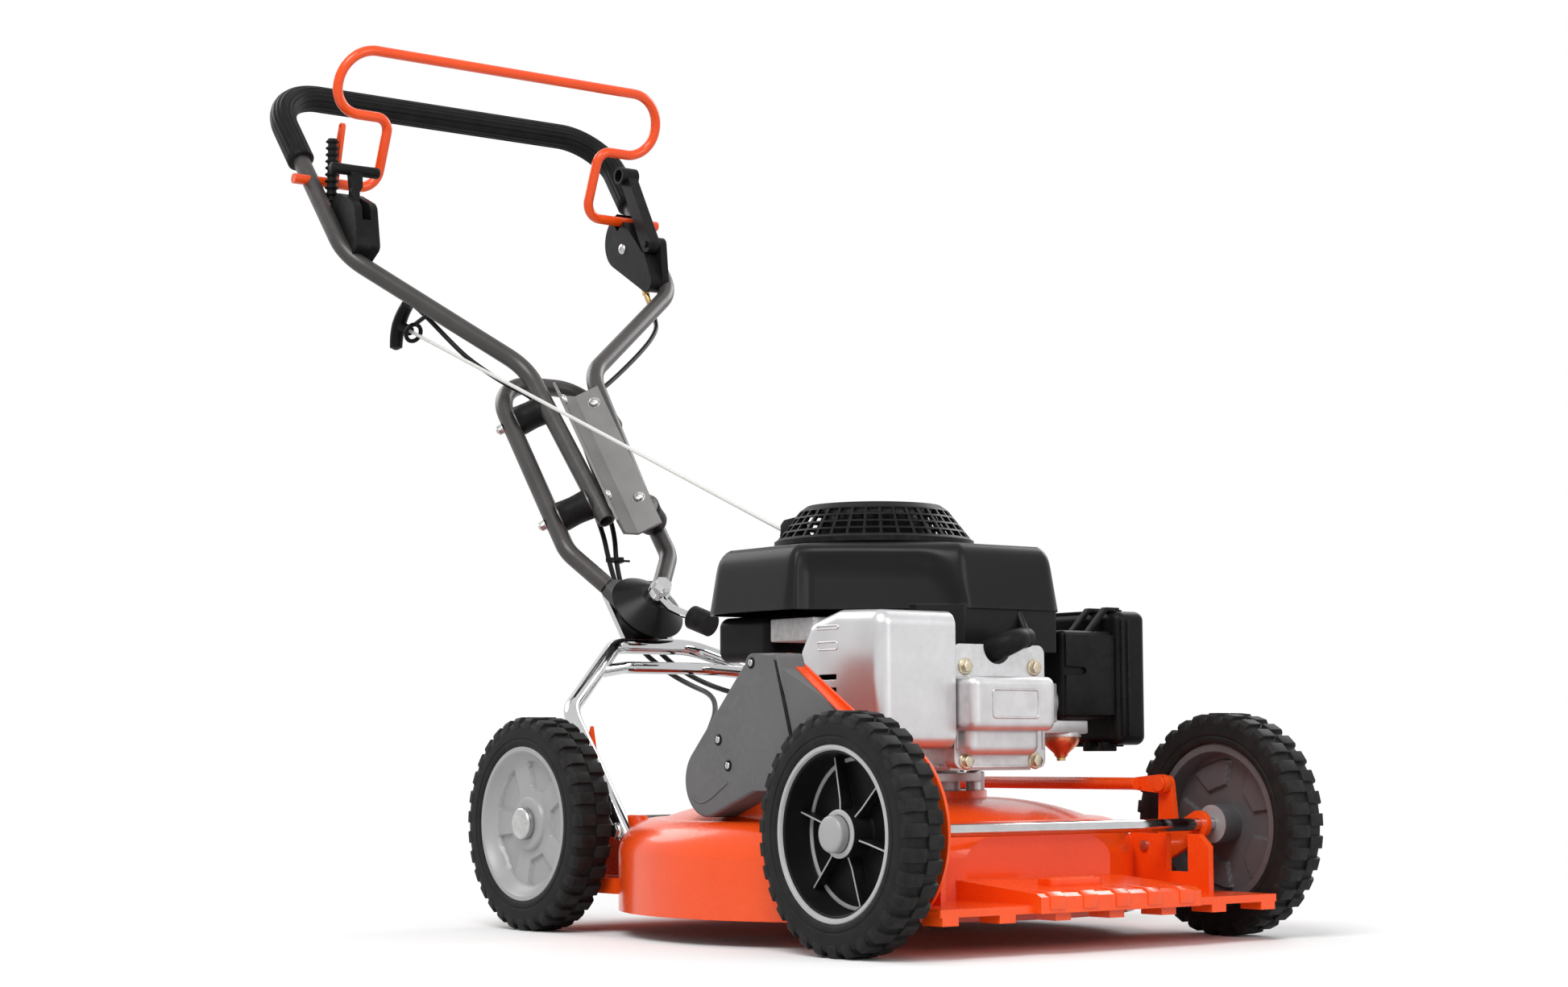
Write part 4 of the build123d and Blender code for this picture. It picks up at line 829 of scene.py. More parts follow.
# rubber dampers between loop and bar, their bolts, nuts and washers
damper = {"loopX": 68.0, "loopN": -28.0, "barX": 30.0, "barN": 9.0, "stations": (129.0, 275.0), "radius": 17.0,
          "waist": 16.0, "inset": 8.0, "plate": 1.6, "washer": (12.2, 13.2)}
panHead = {"shares": (0.7, 0.6, 0.54, 0.46, 0.38, 0.3, 0.24, 0.18, 0.13, 0.08, 0.03), "crown": 0.3, "armHalf": 1.0,
           "armReach": 3.4, "sunk": 1.6, "slope": 0.5, "recessTo": 0.72}


def crossRecess(r, angle):
    u, v = abs(r * cos(angle)), abs(r * sin(angle))
    arm = min(panHead["armHalf"] - min(u, v), panHead["armReach"] - max(u, v))
    return panHead["sunk"] * smoothStep(arm, 0, panHead["slope"])


def addPanHead(bm, place, radius, height):
    outline = [(0, radius), (0.9, radius), (0.7 * height, 0.84 * radius)]
    outline += [(height * (1 - panHead["crown"] * share ** 2), share * radius) for share in panHead["shares"]]
    reach = panHead["recessTo"] * radius
    addTurned(bm, outline, 64, place, depth=lambda r, angle: crossRecess(r, angle) if r < reach else 0)


def buildDampers():
    rubber, plates, bolts = bmesh.new(), bmesh.new(), bmesh.new()
    wide, waist, thick, low = damper["radius"], damper["waist"], damper["plate"], damper["inset"]
    for side in (-1, 1):
        foot = Vector((side * damper["loopX"], 0, damper["loopN"]))
        axis = Vector((side * damper["barX"], 0, damper["barN"])) - foot
        span = axis.length
        high, middle = span - low, span / 2
        washerLow, washerHigh = (span + x for x in damper["washer"])
        for s in damper["stations"]:
            place = handlePlace @ facing(foot + Vector((0, s, 0)), axis)
            addTurned(rubber, [(low + thick, wide - 0.8), (low + thick + 1, wide), (middle - 6, waist + 0.3),
                               (middle, waist), (middle + 6, waist + 0.3), (high - thick - 1, wide),
                               (high - thick, wide - 0.8)], 48, place)
            for start in (low, high - thick):
                addDisc(plates, start, start + thick, wide - 1, 48, place)
            addTurned(bolts, [(-18, 0), (-18, 2.6), (-17.4, 3), (-9, 3)], 24, place)
            addHex(bolts, -16, -10.6, 10.5, place, 0.6)
            addDisc(bolts, -10.6, -9.6, 6.6, 32, place)
            addDisc(bolts, washerLow, washerHigh, 7.2, 40, place)
            addPanHead(bolts, place @ Matrix.Translation((washerHigh, 0, 0)), 6.5, 4.0)
    makePiece("damperRubbers", rubber, "handle", "black_rubber", "softRubber", "vibration_dampers", smooth=50)
    makePiece("damperPlates", plates, "handle", "steel", "darkSteel", smooth=35)
    return bolts


ringEye = {"centre": (-139, 423, -37), "bar": (-138, 415, 4), "radius": 10.0, "wire": 2.5, "steps": 12, "short": 9.0}
driveScrew = {"place": (197, 578, -3), "radius": 7.0, "height": 3.6}


def buildHandleBolts(bm):
    place = handlePlace @ facing(Vector(driveScrew["place"]), (-1, 0, 0))
    addPanHead(bm, place, driveScrew["radius"], driveScrew["height"])
    makePiece("handleBolts", bm, "handle", "steel", "zincSteel", "handle_fasteners")


def buildRopeEye():
    bm = bmesh.new()
    centre, bar = onHandle(*ringEye["centre"]) / mm, onHandle(*ringEye["bar"]) / mm
    radius, wire, steps = ringEye["radius"], ringEye["wire"], ringEye["steps"]
    angles = [2 * pi * k / steps for k in range(steps)]
    addTurned(bm, [(wire * sin(a), radius + wire * cos(a)) for a in angles], 40, at(centre, ropeDirection),
              closed=True)
    stem = bar - centre
    foot = centre + (stem - ropeDirection * stem.dot(ropeDirection)).normalized() * radius
    stem = bar - foot
    top = stem.length - ringEye["short"]
    addTurned(bm, [(0, 0), (0, 2.4), (top, 2.6), (top, 0)], 20, at(foot, stem))
    makePiece("ropeEye", bm, "handle", "steel", "blackPlastic", smooth=60)


buildHandleBolts(buildDampers())
buildRopeEye()
print("dampers and bolts built")

# control cables, from the levers down the tubes and under the brace
throttleCable = {
    "handle": [(-206, 504, 10), (-204, 495, 9), (-188, 479, 6), (-166, 459, 3), (-150, 441, -7), (-136, 427, -10),
               (-112, 378, -11), (-97, 356, -12), (-66, 323, -11), (-30, 304, -12), (-16, 258, -22), (-13, 190, -22),
               (-8, 122, -26), (-5, 80, -44), (4, 34, -62)],
    "chassis": [(30, 436, 300), (52, 424, 274), (60, 390, 256), (60, 330, 240), (54, 240, 228), (40, 120, 224),
                (30, 60, 224)]}
driveCable = {
    "handle": [(207, 482, -14), (206, 466, -16), (198, 446, -14), (167, 412, -12), (106, 359, -12), (62, 324, -11),
               (30, 304, -12), (16, 258, -22), (12, 186, -23), (8, 118, -27), (4, 78, -46), (12, 32, -66)],
    "chassis": [(22, 446, 292), (44, 420, 264), (48, 380, 248), (36, 320, 236), (-10, 250, 216), (-80, 170, 192),
                (-150, 70, 176), (-188, 0, 166)]}
cableRadius = 2.8


def layCable(name, route, *nodes):
    points = [onHandle(*p) for p in route["handle"]] + [Vector(p) * mm for p in route["chassis"]]
    tube, line = tubeFromRoute(name, points, cableRadius * mm)
    setPiece(tube, None, "black_plastic", "cableSheath", *nodes)
    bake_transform(tube)


layCable("throttleCable", throttleCable, "control_cables")
layCable("driveCable", driveCable)

ferrule = {"start": (201, 513, -4), "end": (207, 482, -14), "radius": 3.6, "bore": 2.0}
tie = {"place": (-0.5, 86, -41), "along": (0, -40, -20), "reach": 8.6, "inner": 3.9, "half": 2.0, "flat": 0.55,
       "lock": ((-3, 6.5, -4), (3, 13, 4)), "tail": ((-1.2, 12, -1.8), (1.2, 24, -0.6))}


def buildCableFittings():
    start, end = Vector(ferrule["start"]), Vector(ferrule["end"])
    length, r, bore = (end - start).length, ferrule["radius"], ferrule["bore"]
    bm = bmesh.new()
    outline = [(0, bore), (0, r), (8, r), (8.6, r + 1), (10.6, r + 1), (11.2, r), (length - 6, r),
               (length - 5, r - 0.5), (length, r - 0.6), (length, bore)]
    addTurned(bm, outline, 32, handlePlace @ facing(start, end - start))
    makePiece("cableFerrule", bm, "handle", "steel", "brassPlate")
    bm = bmesh.new()
    place = handlePlace @ facing(Vector(tie["place"]), tie["along"])
    half, inner, reach = tie["half"], tie["inner"], tie["reach"]
    addTurned(bm, [(-half, inner), (half, inner), (half, reach), (-half, reach)], 28,
              place @ Matrix.Diagonal((1, 1, tie["flat"], 1)), closed=True)
    addBlock(bm, *tie["lock"], place, 0.8)
    addBlock(bm, *tie["tail"], place, 0.3)
    makePiece("cableTie", bm, "handle", "black_plastic", "blackPlastic")


buildCableFittings()
print("cables laid")


# small shapes shared by the engine and deck details
def roundedRect(width, height, radius):
    outline = []
    for i, (sideY, sideZ) in enumerate(((1, 1), (-1, 1), (-1, -1), (1, -1))):
        for k in range(5):
            angle = pi / 2 * (i + k / 4)
            outline.append((sideY * (width / 2 - radius) + radius * cos(angle),
                            sideZ * (height / 2 - radius) + radius * sin(angle)))
    return outline


def addFrame(bm, place, width, height, radius, band, rise):
    # a raised blank frame on a face, its band sloping off at both edges
    slope = 0.35 * band
    rings = []
    for inset, x in ((0, 0), (slope, rise), (band - slope, rise), (band, 0)):
        outline = roundedRect(width - 2 * inset, height - 2 * inset, max(radius - inset, 0.3))
        rings.append([bm.verts.new(place @ Vector((x, y, z))) for y, z in outline])
    addRings(bm, rings, closed=True)


def addHexBolt(bm, place, across, height, flange):
    addTurned(bm, [(0, 0), (0, flange), (1, flange), (2, 0.86 * flange), (2, 0)], 36, place)
    addHex(bm, 0.5, height, across, place, 0.6)
    addTurned(bm, [(height - 0.2, 0.36 * across), (height - 0.6, 0.33 * across), (height - 0.6, 0)], 24, place)


# bolts and screws on the chassis, bolt sizes as across flats, height and flange
headBolts = {"x": (-42, 43), "y": -182, "z": (165.75, 252.25), "size": (10.0, 6.0, 8.0)}
coverScrews = {"x": -222.0, "places": [(-45, 186), (-60, 162.5), (-95.5, 255)], "radius": 4.5, "slotHalf": 1.0,
               "slotSunk": 1.4, "slope": 0.4, "slotTo": 0.7}
footBolts = {"x": 204.5, "y": 146, "z": 99, "size": (12.0, 5.0, 8.0)}
mountBolts = {"radius": 97.0, "z": 154.0, "count": 4, "size": (12.0, 7.0, 9.0)}


def slotRecess(r, angle):
    if r >= coverScrews["slotTo"] * coverScrews["radius"]:
        return 0
    inside = coverScrews["slotHalf"] - abs(r * cos(angle))
    return coverScrews["slotSunk"] * smoothStep(inside, 0, coverScrews["slope"])


def buildChassisBolts():
    brass, zinc, dark = bmesh.new(), bmesh.new(), bmesh.new()
    for x in headBolts["x"]:
        for z in headBolts["z"]:
            addHexBolt(brass, at((x, headBolts["y"], z), (0, -1, 0)), *headBolts["size"])
    for side in (-1, 1):
        place = at((side * footBolts["x"], footBolts["y"], footBolts["z"]), (side, 0, 0))
        addHexBolt(zinc, place, *footBolts["size"])
    for i in range(mountBolts["count"]):
        angle = pi / 4 + 2 * pi * i / mountBolts["count"]
        foot = (mountBolts["radius"] * cos(angle), mountBolts["radius"] * sin(angle), mountBolts["z"])
        addHexBolt(zinc, at(foot, (0, 0, 1)), *mountBolts["size"])
    r = coverScrews["radius"]
    screw = [(-2, r - 1), (0.9, r - 1), (1.6, 0.66 * r), (1.9, 0.5 * r), (2, 0.36 * r), (2, 0.24 * r), (2, 0.1 * r)]
    cup = [(-2, r - 1.6), (1.1, r - 1.5), (1.5, r - 0.8), (0.5, r + 0.8), (-2, r + 0.8)]
    for y, z in coverScrews["places"]:
        place = at((coverScrews["x"], y, z), (-1, 0, 0))
        addTurned(zinc, screw, 48, place, depth=slotRecess)
        addTurned(dark, cup, 40, place, closed=True)
    makePiece("headBolts", brass, "chassis", "steel", "yellowZinc", "chassis_fasteners")
    makePiece("chassisBolts", zinc, "chassis", "steel", "zincSteel")
    makePiece("screwCups", dark, "chassis", "black_plastic", "blackPlastic")


buildChassisBolts()
print("chassis bolts built")

# starter grip: a curved tee on the end of the rope
starterTee = {"fromRing": 30.0, "half": 28.0, "radius": 8.2, "bow": 7.0, "neck": 6.0, "neckFrom": 4.0, "steps": 24,
              "taper": 0.12}


def starterRadius(share, angle):
    out = abs(2 * share - 1)
    return starterTee["radius"] * (1 - starterTee["taper"] * out) * min(1, (1 - out ** 14) ** 0.5 + 0.3)


def buildStarterGrip():
    ring, up = ropeRing / mm, Vector((0, 0, 1))
    across = (up - ropeDirection * up.dot(ropeDirection)).normalized()
    centre = ring + ropeDirection * starterTee["fromRing"]
    path = []
    for i in range(starterTee["steps"] + 1):
        share = 2 * i / starterTee["steps"] - 1
        bow = starterTee["bow"] * share * share
        path.append(centre + across * (starterTee["half"] * share) - ropeDirection * bow)
    bm = bmesh.new()
    addSweep(bm, path, starterRadius, 32, across.cross(ropeDirection), toMetres)
    neck, reach = starterTee["neck"], starterTee["fromRing"] - starterTee["neckFrom"]
    addTurned(bm, [(2, 2.2), (2, neck - 1), (4, neck), (reach - 6, neck), (reach, neck + 1.5), (reach, 0)], 32,
              at(ring + ropeDirection * starterTee["neckFrom"], ropeDirection))
    makePiece("starterGrip", bm, "starter", "black_plastic", "blackPlastic", "starter_grip", smooth=50)
    # the length between ring and grip draws out as the grip is pulled
    bm = bmesh.new()
    addTurned(bm, [(-4, 0), (-4, 1.7), (0, 1.8), (reach, 1.8), (reach + 1, 0)], 20, at(ring, ropeDirection))
    tail = makePiece("ropeTail", bm, None, "rope_nylon", "nylonRope", smooth=60)
    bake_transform(tail)


buildStarterGrip()
print("starter grip built")

# block on the grille's side that the rope comes out of, with its eyelet
ropeOutlet = {"deep": 22.0, "half": 9.0, "below": 14.0, "above": 11.0, "eyelet": 5.6}


def buildRopeOutlet():
    start, up = ropeStart / mm, Vector((0, 0, 1))
    outward = Vector((ropeDirection.x, ropeDirection.y, 0)).normalized()
    deep, half, below, above, r = (ropeOutlet[key] for key in ("deep", "half", "below", "above", "eyelet"))
    bm = bmesh.new()
    outline = [(-1, -below), (-1, above - 5), (-6, above), (-deep, above + 2), (-deep, -below)]
    addPrism(bm, outline, -half, half, toMetres @ sheetAt(start, outward.cross(up), outward, up), 1.2)
    addTurned(bm, [(-4, 2.4), (-4, r), (0.6, r), (1.4, r - 0.9), (1.4, 3.2), (0.6, 2.4)], 32, at(start, outward),
              closed=True)
    makePiece("ropeOutlet", bm, "chassis", "black_plastic", "shroudPlastic")


buildRopeOutlet()
print("rope outlet built")

# casing: painted shade for the groove beside the flat face, as a black strip set flush in it, and the plate's orange
# flange behind the sloping facet
casing = {"grooveShade": [(-129.2, 257.2), (-132.8, 256), (-155.4, 186.3), (-151.8, 187.5)], "grooveShadeX": (-222.1, -215),
          "flange": [(-113, 262.9), (-119.7, 261.2), (-209.2, 203.5), (-208.4, 202.3), (-118.9, 259.9),
                     (-113, 261.5)],
          "flangeX": (-202.5, -191.5)}


def buildCasingTrim(name, part, slotName, finishName):
    bm = bmesh.new()
    addPrism(bm, casing[part], *casing[part + "X"], toMetres)
    makePiece(name, bm, "chassis", slotName, finishName)


# painted shade: a black strip flush with the casing face in place of the groove's shadow
buildCasingTrim("casingGrooveShade", "grooveShade", "black_plastic", "blackPlastic")
buildCasingTrim("casingFlange", "flange", "orange_paint", "orangePowderCoat")
print("casing trim built")

# carburettor: alloy body and throat, copper bowl with its drain screw
carburettor = {"bowl": (141, -113), "bowlTop": 191.0, "bowlRadius": 18.5, "bowlFoot": 171.5, "throatZ": 221.0,
               "blocks": [((58, -134, 202), (118, -92, 240), 3.0), ((100, -132, 191), (160, -94, 204.5), 2.5)],
               "throat": [(50, 20), (60, 20), (62, 17), (96, 17), (98, 21), (119, 21)],
               "posts": [(84, -135, 214), (84, -91, 214)], "postRadius": 4.0, "postHeight": 14.0,
               "screw": (8.0, 5.0, 5.6)}


def buildCarburettor():
    x, y = carburettor["bowl"]
    top, foot, r = carburettor["bowlTop"], carburettor["bowlFoot"], carburettor["bowlRadius"]
    body, bowl, screw = bmesh.new(), bmesh.new(), bmesh.new()
    for low, high, bevel in carburettor["blocks"]:
        addBlock(body, low, high, toMetres, bevel)
    addTurned(body, carburettor["throat"], 40, at((0, y, carburettor["throatZ"]), (1, 0, 0)))
    addTurned(body, [(-3, 0), (-3, r + 1.2), (0, r + 1.2), (1, r), (1, 0)], 48, at((x, y, top), (0, 0, 1)))
    for post in carburettor["posts"]:
        addDisc(body, 0, carburettor["postHeight"], carburettor["postRadius"], 24, at(post, (0, 0, 1)))
    addTurned(bowl, [(0, r), (3, r), (8, r - 2), (13, r - 7), (17, 7), (top - foot, 6.4), (top - foot, 0)], 48,
              at((x, y, top - 2), (0, 0, -1)))
    addHexBolt(screw, at((x, y, foot - 1.5), (0, 0, -1)), *carburettor["screw"])
    makePiece("carburettorBody", body, "chassis", "cast_alloy", "castAluminium", "carburettor")
    makePiece("carburettorBowl", bowl, "chassis", "cast_alloy", "copperBowl", smooth=50)
    makePiece("bowlScrew", screw, "chassis", "steel", "brassPlate")


buildCarburettor()

# spark plug boot, elbowed, with its lead up into the fan cover
plugBoot = {"bend": [(-2, -166, 266), (-2, -194, 272), (14, -199, 281), (38, -179, 280)], "steps": 40,
            "radius": 11.2, "taper": 2.6, "taperSpan": (0.35, 0.9), "ribs": 14, "rib": 0.9, "ribSpan": (0.72, 0.95),
            "mouth": 1.4, "mouthSpan": (0.965, 1), "leadRadius": 3.6,
            "lead": [(34, -183, 280), (44, -174, 280), (53, -166, 281), (56, -156, 290), (56, -148, 304),
                     (56, -146, 312)]}


def plugBootRadius(share, angle):
    first, last = plugBoot["ribSpan"]
    swell = plugBoot["radius"] - plugBoot["taper"] * smoothStep(share, *plugBoot["taperSpan"])
    wave = smoothStep(abs(sin(plugBoot["ribs"] * pi * share)) - 0.6, 0, 0.3) if first < share < last else 0
    return swell + plugBoot["rib"] * wave - plugBoot["mouth"] * smoothStep(share, *plugBoot["mouthSpan"])


def buildPlugBoot():
    a, b, c, d = (Vector(p) for p in plugBoot["bend"])
    path = []
    for i in range(plugBoot["steps"] + 1):
        t = i / plugBoot["steps"]
        path.append(a * (1 - t) ** 3 + b * 3 * t * (1 - t) ** 2 + c * 3 * t * t * (1 - t) + d * t ** 3)
    bm = bmesh.new()
    addSweep(bm, path, plugBootRadius, 40, (b - a).cross(d - b).normalized(), toMetres)
    makePiece("plugBoot", bm, "chassis", "black_rubber", "softRubber", "plug_boot", smooth=55)
    lead = tubeFromRoute("plugLead", [Vector(p) * mm for p in plugBoot["lead"]], plugBoot["leadRadius"] * mm)[0]
    setPiece(lead, "chassis", "black_rubber", "cableSheath")


buildPlugBoot()
print("carburettor and plug boot built")

# fan cover: a tapered shell with a round shoulder, levels of inset and height
fanCover = {"outline": [(-140, 79), (-140, -44), (-14, -152), (104, -152), (126, -124), (126, 92), (104, 116),
                        (-116, 116)],
            "corner": 22.0, "reach": 13.0, "foot": 308.0, "mouth": 91.0, "wall": 3.0,
            "levels": [(0, 308), (1.1, 315), (2.2, 322), (3.3, 329), (4.4, 336), (5.5, 343), (6.6, 350), (7.9, 356),
                       (9.6, 361), (12, 365), (15, 368), (19, 370.4)],
            "lid": [(372.2, 0.4), (374, 0.9), (374, 1), (371, 1), (369.4, 0.4)],
            "skirt": [(-48, -121), (-14, -150), (102, -150), (116, -132), (116, -50)], "skirtZ": (268, 312),
            "skirtArc": 69.0, "skirtAngles": (0.76, 0.5, 0.25, 0, -0.25, -0.5, -0.76)}
# hollow in its near front wall: along the wall, and inward from it
hollow = {"mid": Vector((-77, -98)), "along": Vector((0.759, -0.651)), "inward": Vector((0.651, 0.759)), "depth": 9.0,
          "band": 24.0, "nearFade": (-78, -62), "farEnd": 58.0, "farFade": (-6, 20), "widening": 26.0,
          "widenFrom": 366.0, "widenOver": 58.0, "brow": 369.0, "browDrop": 3.0, "browSpan": (-40, 60),
          "browFade": 24.0}


def cornerReach(turn):
    return min(fanCover["corner"] * tan(turn / 2), fanCover["reach"])


def coverPerimeter():
    corners = [Vector(p) for p in fanCover["outline"]]
    samples = []
    for i, corner in enumerate(corners):
        before, after = corners[i - 1], corners[(i + 1) % len(corners)]
        into, away = (corner - before).normalized(), (after - corner).normalized()
        turn = into.angle(away)
        reach = cornerReach(turn)
        radius = reach / tan(turn / 2)
        start = corner - into * reach
        centre = start + Vector((-into.y, into.x)) * radius
        inward = (centre - start).normalized()
        for k in range(9):
            swing = Matrix.Rotation(turn * k / 8, 2)
            samples.append((centre - swing @ inward * radius, swing @ inward))
        stop = after - away * cornerReach(away.angle(corners[(i + 2) % len(corners)] - after))
        leave = corner + away * reach
        steps = max(int((stop - leave).length / 5), 2)
        samples += [(leave.lerp(stop, k / steps), Vector((-away.y, away.x))) for k in range(1, steps)]
    return samples


def hollowDepth(point, z):
    along = (point - hollow["mid"]).dot(hollow["along"])
    if (point - hollow["mid"]).dot(hollow["inward"]) > hollow["band"]:
        return 0
    farEnd = hollow["farEnd"] + hollow["widening"] * smoothStep(hollow["widenFrom"] - z, 0, hollow["widenOver"])
    brow = hollow["brow"] - hollow["browDrop"] * smoothStep(along, *hollow["browSpan"])
    return (hollow["depth"] * smoothStep(along, *hollow["nearFade"]) * smoothStep(farEnd - along, *hollow["farFade"])
            * smoothStep(brow - z, 0, hollow["browFade"]))


def coverRing(bm, samples, inset, z, share=0.0, deeper=0.0):
    ring = []
    for point, inward in samples:
        sunk = hollowDepth(point, z + deeper) if share < 1 else 0
        place = point + inward * inset + hollow["inward"] * sunk
        place = place.lerp(point.normalized() * (fanCover["mouth"] - deeper), share)
        ring.append(bm.verts.new(Vector((place.x, place.y, z)) * mm))
    return ring


def buildFanCover():
    bm = bmesh.new()
    samples, levels, wall = coverPerimeter(), fanCover["levels"], fanCover["wall"]
    shoulder = levels[-1][0]
    rings = [coverRing(bm, samples, inset, z) for inset, z in levels]
    rings += [coverRing(bm, samples, shoulder, z, share) for z, share in fanCover["lid"]]
    rings += [coverRing(bm, samples, inset + wall, z - wall, 0, wall) for inset, z in levels[:0:-1]]
    rings.append(coverRing(bm, samples, wall, fanCover["foot"]))
    addRings(bm, rings, closed=True)
    arc = [(fanCover["skirtArc"] * sin(a), -fanCover["skirtArc"] * cos(a)) for a in fanCover["skirtAngles"]]
    addPrism(bm, fanCover["skirt"] + arc, *fanCover["skirtZ"], toMetres @ standing, 1.2)
    makePiece("fanCover", bm, "chassis", "black_plastic", "shroudPlastic", "fan_cover")


# dark starter drum seen through the grille, and the grille's bare crown
starterDrum = {"foot": 356.0, "radius": 66.0, "bore": 20.0, "ribs": 9, "crown": 413.6, "crownRadius": 31.0}


def buildStarterDrum():
    bm = bmesh.new()
    up = at((0, 0, 0), (0, 0, 1))
    foot, r, bore = starterDrum["foot"], starterDrum["radius"], starterDrum["bore"]
    addTurned(bm, [(foot, bore), (foot, r), (foot + 14, r), (foot + 16, r - 3), (foot + 44, r - 14),
                   (foot + 50, r - 20), (foot + 51, bore)], 64, up, closed=True)
    for i in range(starterDrum["ribs"]):
        turn = toMetres @ spin(i, starterDrum["ribs"], "Z")
        addBlock(bm, (46, -2, foot + 10), (70, 2, foot + 26), turn, 0.6)
    makePiece("starterDrum", bm, "chassis", "black_plastic", "blackPlastic")
    bm = bmesh.new()
    crown, wide = starterDrum["crown"], starterDrum["crownRadius"]
    addTurned(bm, [(crown - 1, wide), (crown + 0.8, wide - 0.6), (crown + 2.4, wide - 6), (crown + 3.6, wide - 14),
                   (crown + 4.2, wide - 24), (crown + 4.3, 0)], 64, up)
    makePiece("grilleCrown", bm, "chassis", "black_plastic", "shroudPlastic")


buildFanCover()
buildStarterDrum()
print("fan cover built")

# relief on the head cover and the muffler guard, left blank: frames of width, height, corner, band and rise
relief = {"headFace": (-6.5, -212, 218), "headFrame": (58, 28, 4, 2.4, 0.9), "barHalf": 1.2,
          "levelBars": (160.5, 171.5), "levelX": (-36, 37), "uprightBars": (-52.5, 53.5), "uprightZ": (176, 242),
          "guardX": -147.8, "guardFrames": [(-113, 271, 30, 9), (-113, 288, 34, 5)], "guardBand": (2.4, 2.0, 0.9)}


def buildRelief():
    head, guard = bmesh.new(), bmesh.new()
    half, (x0, x1), (z0, z1) = relief["barHalf"], relief["levelX"], relief["uprightZ"]
    addFrame(head, at(relief["headFace"], (0, -1, 0)), *relief["headFrame"])
    for z in relief["levelBars"]:
        addBlock(head, (x0, -183.2, z - half), (x1, -181, z + half), toMetres, 0.8)
    for x in relief["uprightBars"]:
        addBlock(head, (x - half, -183.4, z0), (x + half, -181, z1), toMetres, 0.9)
    for y, z, width, height in relief["guardFrames"]:
        addFrame(guard, at((relief["guardX"], y, z), (-1, 0, 0)), width, height, *relief["guardBand"])
    makePiece("headRelief", head, "chassis", "cast_alloy", "castAluminium")
    makePiece("guardRelief", guard, "chassis", "guard_steel", "guardSheet")


buildRelief()

# air filter: notched front panel, lid flutes, straps and feet
airFilter = {"panelY": (-142.5, -139), "lidFaceY": -146.0, "lidX": 188, "lidZ": (180, 311), "flutes": (193, 201),
             "fluteHalf": 1.5, "fluteRise": 1.6, "straps": (-132, -108), "strapWidth": 7.0, "feet": (-130, -108),
             "panel": [(122, 209), (186, 209), (186, 287), (122, 287), (122, 255.5), (145, 255.5), (147, 254.5),
                       (148.5, 253), (148.5, 250), (147, 248.5), (145, 247.5), (122, 247.5)]}


def buildAirFilter():
    bm = bmesh.new()
    addPrism(bm, airFilter["panel"], *airFilter["panelY"], toMetres @ upright, 0.7)
    x0, (z0, z1) = airFilter["lidX"], airFilter["lidZ"]
    half, rise = airFilter["fluteHalf"], airFilter["fluteRise"]
    for x in airFilter["flutes"]:
        addBlock(bm, (x - half, airFilter["lidFaceY"] - rise, z0 + 9), (x + half, -40, z1 - 9), toMetres, 0.7)
        for low, high in ((z1 - 1, z1 + rise), (z0 - rise, z0 + 1)):
            addBlock(bm, (x - half, -137, low), (x + half, -49, high), toMetres, 0.7)
    strap = [(x0 + 16, z1 + 1), (x0 + 16, z1 + 4), (x0 - 2, z1 + 4), (x0 - 26, 291), (x0 - 22, 290), (x0 - 1, z1)]
    for y in airFilter["straps"]:
        addPrism(bm, strap, y, y + airFilter["strapWidth"], toMetres @ upright, 0.6)
    for y in airFilter["feet"]:
        addBlock(bm, (x0 - 6, y, z0 - 6), (x0 + 12, y + 8, z0 + 3), toMetres, 1.2)
    makePiece("airFilterTrim", bm, "chassis", "black_plastic", "blackPlastic")


buildAirFilter()

# rough cast stay beside the fan cover, and the swaged line on the casing
stay = {"bar": ((-112.6, -46.6, 279.4), (-62, 20.6, 301.6)), "foot": ((-112, -60, 272), (-84, -44, 282)),
        "boss": (-112, -56, 276), "bossOutline": [(0, 0), (0, 7), (4, 7), (5, 6), (5, 0)], "bevel": 2.0}
swage = {"x": -222.0, "route": [(-5, 135), (-10, 130), (-20, 128), (-34, 133), (-48, 141), (-59, 147)],
         "radius": 1.1}


def buildCasingDetails():
    bm = bmesh.new()
    addBlock(bm, *stay["bar"], toMetres, stay["bevel"])
    addTurned(bm, stay["bossOutline"], 28, at(stay["boss"], (-1, 0, 0)))
    addBlock(bm, *stay["foot"], toMetres, stay["bevel"])
    makePiece("castStay", bm, "chassis", "cast_alloy", "roughCasting")
    points = [Vector((swage["x"], y, z)) * mm for y, z in swage["route"]]
    bead = tubeFromRoute("casingSwage", points, swage["radius"] * mm)[0]
    setPiece(bead, "chassis", "grey_plastic", "casingPlastic")


buildCasingDetails()

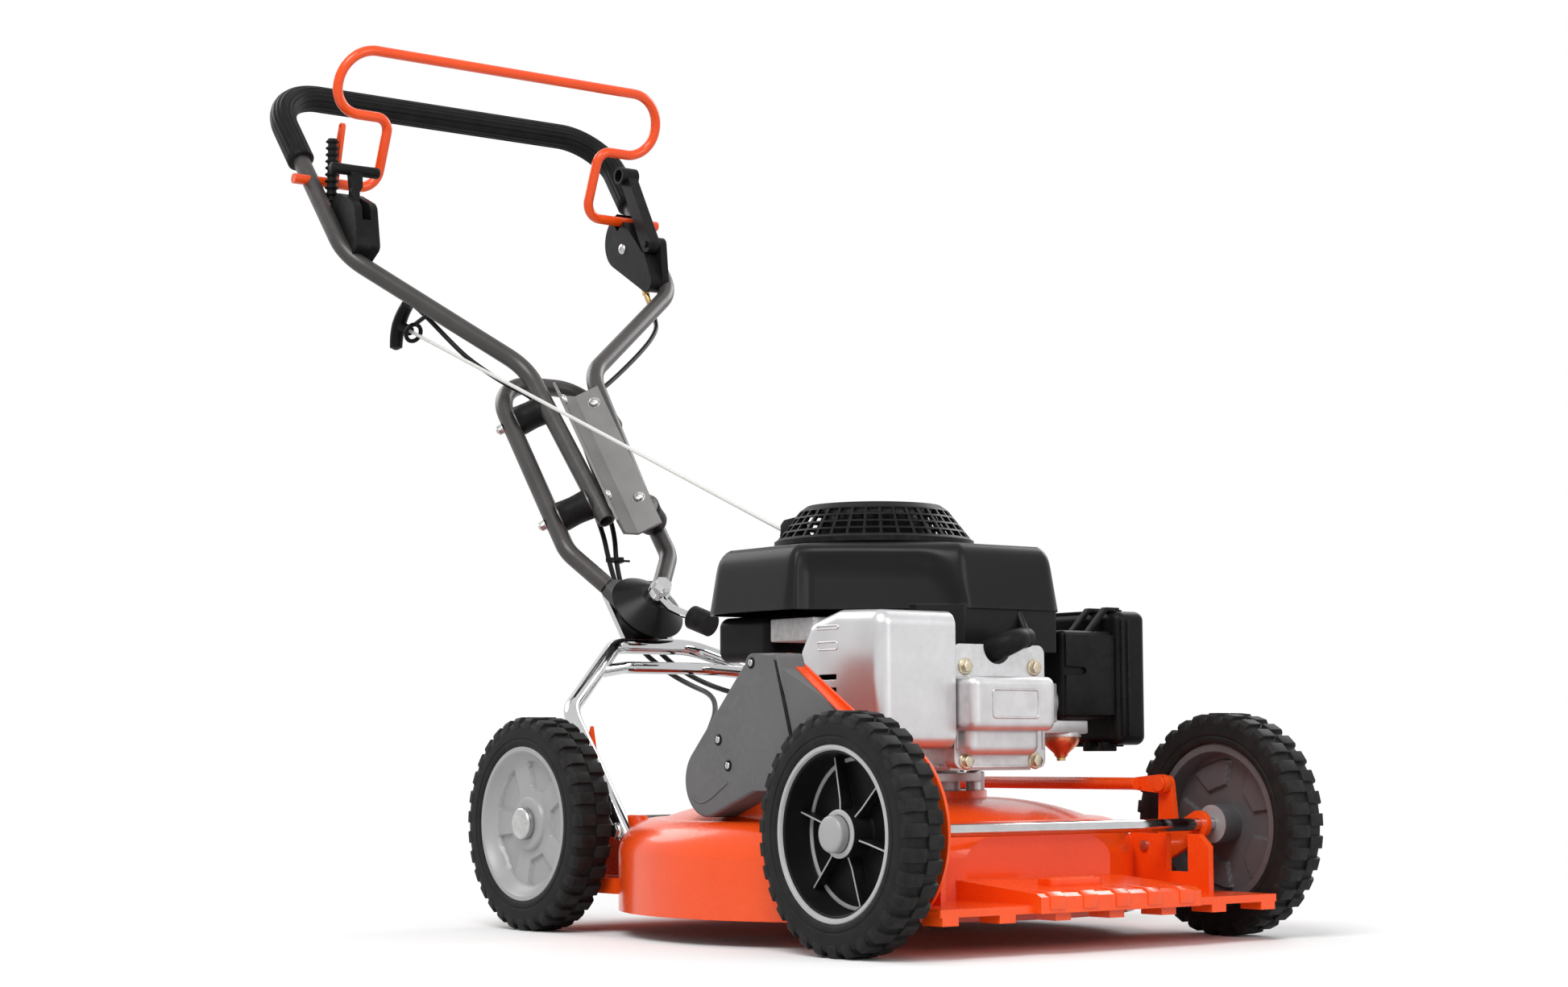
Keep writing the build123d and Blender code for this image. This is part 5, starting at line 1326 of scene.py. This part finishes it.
# apron: tabs pressed over the lip's front edge and a bare badge plate
apron = {"tabs": (-78, -39, 0, 39, 78), "tabHalf": 8.5,
         "tab": [(-342.3, 39), (-342.3, 50.6), (-335.8, 54.4), (-316, 55.4), (-312, 54), (-335, 52), (-340, 49),
                 (-340, 39)],
         "plate": (-14, -288, 0), "plateSize": (62, 24), "plateZ": (55, 62.5), "plateCorner": 7.0, "padInset": 9.0,
         "padCorner": 5.0}


def buildApron():
    tabs, plate = bmesh.new(), bmesh.new()
    for x in apron["tabs"]:
        addPrism(tabs, apron["tab"], x - apron["tabHalf"], x + apron["tabHalf"], toMetres, 0.6)
    (wide, deep), (low, high), inset = apron["plateSize"], apron["plateZ"], apron["padInset"]
    ground = toMetres @ Matrix.Translation(apron["plate"]) @ standing
    addPrism(plate, roundedRect(wide, deep, apron["plateCorner"]), low, high, ground, 0.9)
    addPrism(plate, roundedRect(wide - inset, deep - inset, apron["padCorner"]), high - 1, high + 1, ground, 0.6)
    makePiece("apronTabs", tabs, "chassis", "orange_paint", "orangePowderCoat", smooth=60)
    makePiece("apronPlate", plate, "chassis", "orange_paint", "orangePowderCoat")


buildApron()
print("engine and deck details built")

# knurled fuel cap
fuelCap = {"place": (70, 104, 284), "axis": (0.3, 0.9, 0.2), "base": 34.3, "height": 16.0, "radius": 20.0, "ribs": 30,
           "ribHalf": 1.1}


def buildFuelCap():
    axis = Vector(fuelCap["axis"]).normalized()
    place = at(Vector(fuelCap["place"]) + axis * fuelCap["base"], axis)
    bm = bmesh.new()
    r, top, half = fuelCap["radius"], fuelCap["height"], fuelCap["ribHalf"]
    addTurned(bm, [(0, 0), (0, r), (top - 3, r), (top - 0.8, r - 2), (top, r - 5), (top, 0)], 60, place)
    for i in range(fuelCap["ribs"]):
        addBlock(bm, (1, -half, r - 1), (top - 3, half, r + 0.9), place @ spin(i, fuelCap["ribs"]), 0.4)
    makePiece("fuelCap", bm, "filler_cap", "black_plastic", "blackPlastic", "fuel_cap")


buildFuelCap()
print("fuel cap built")
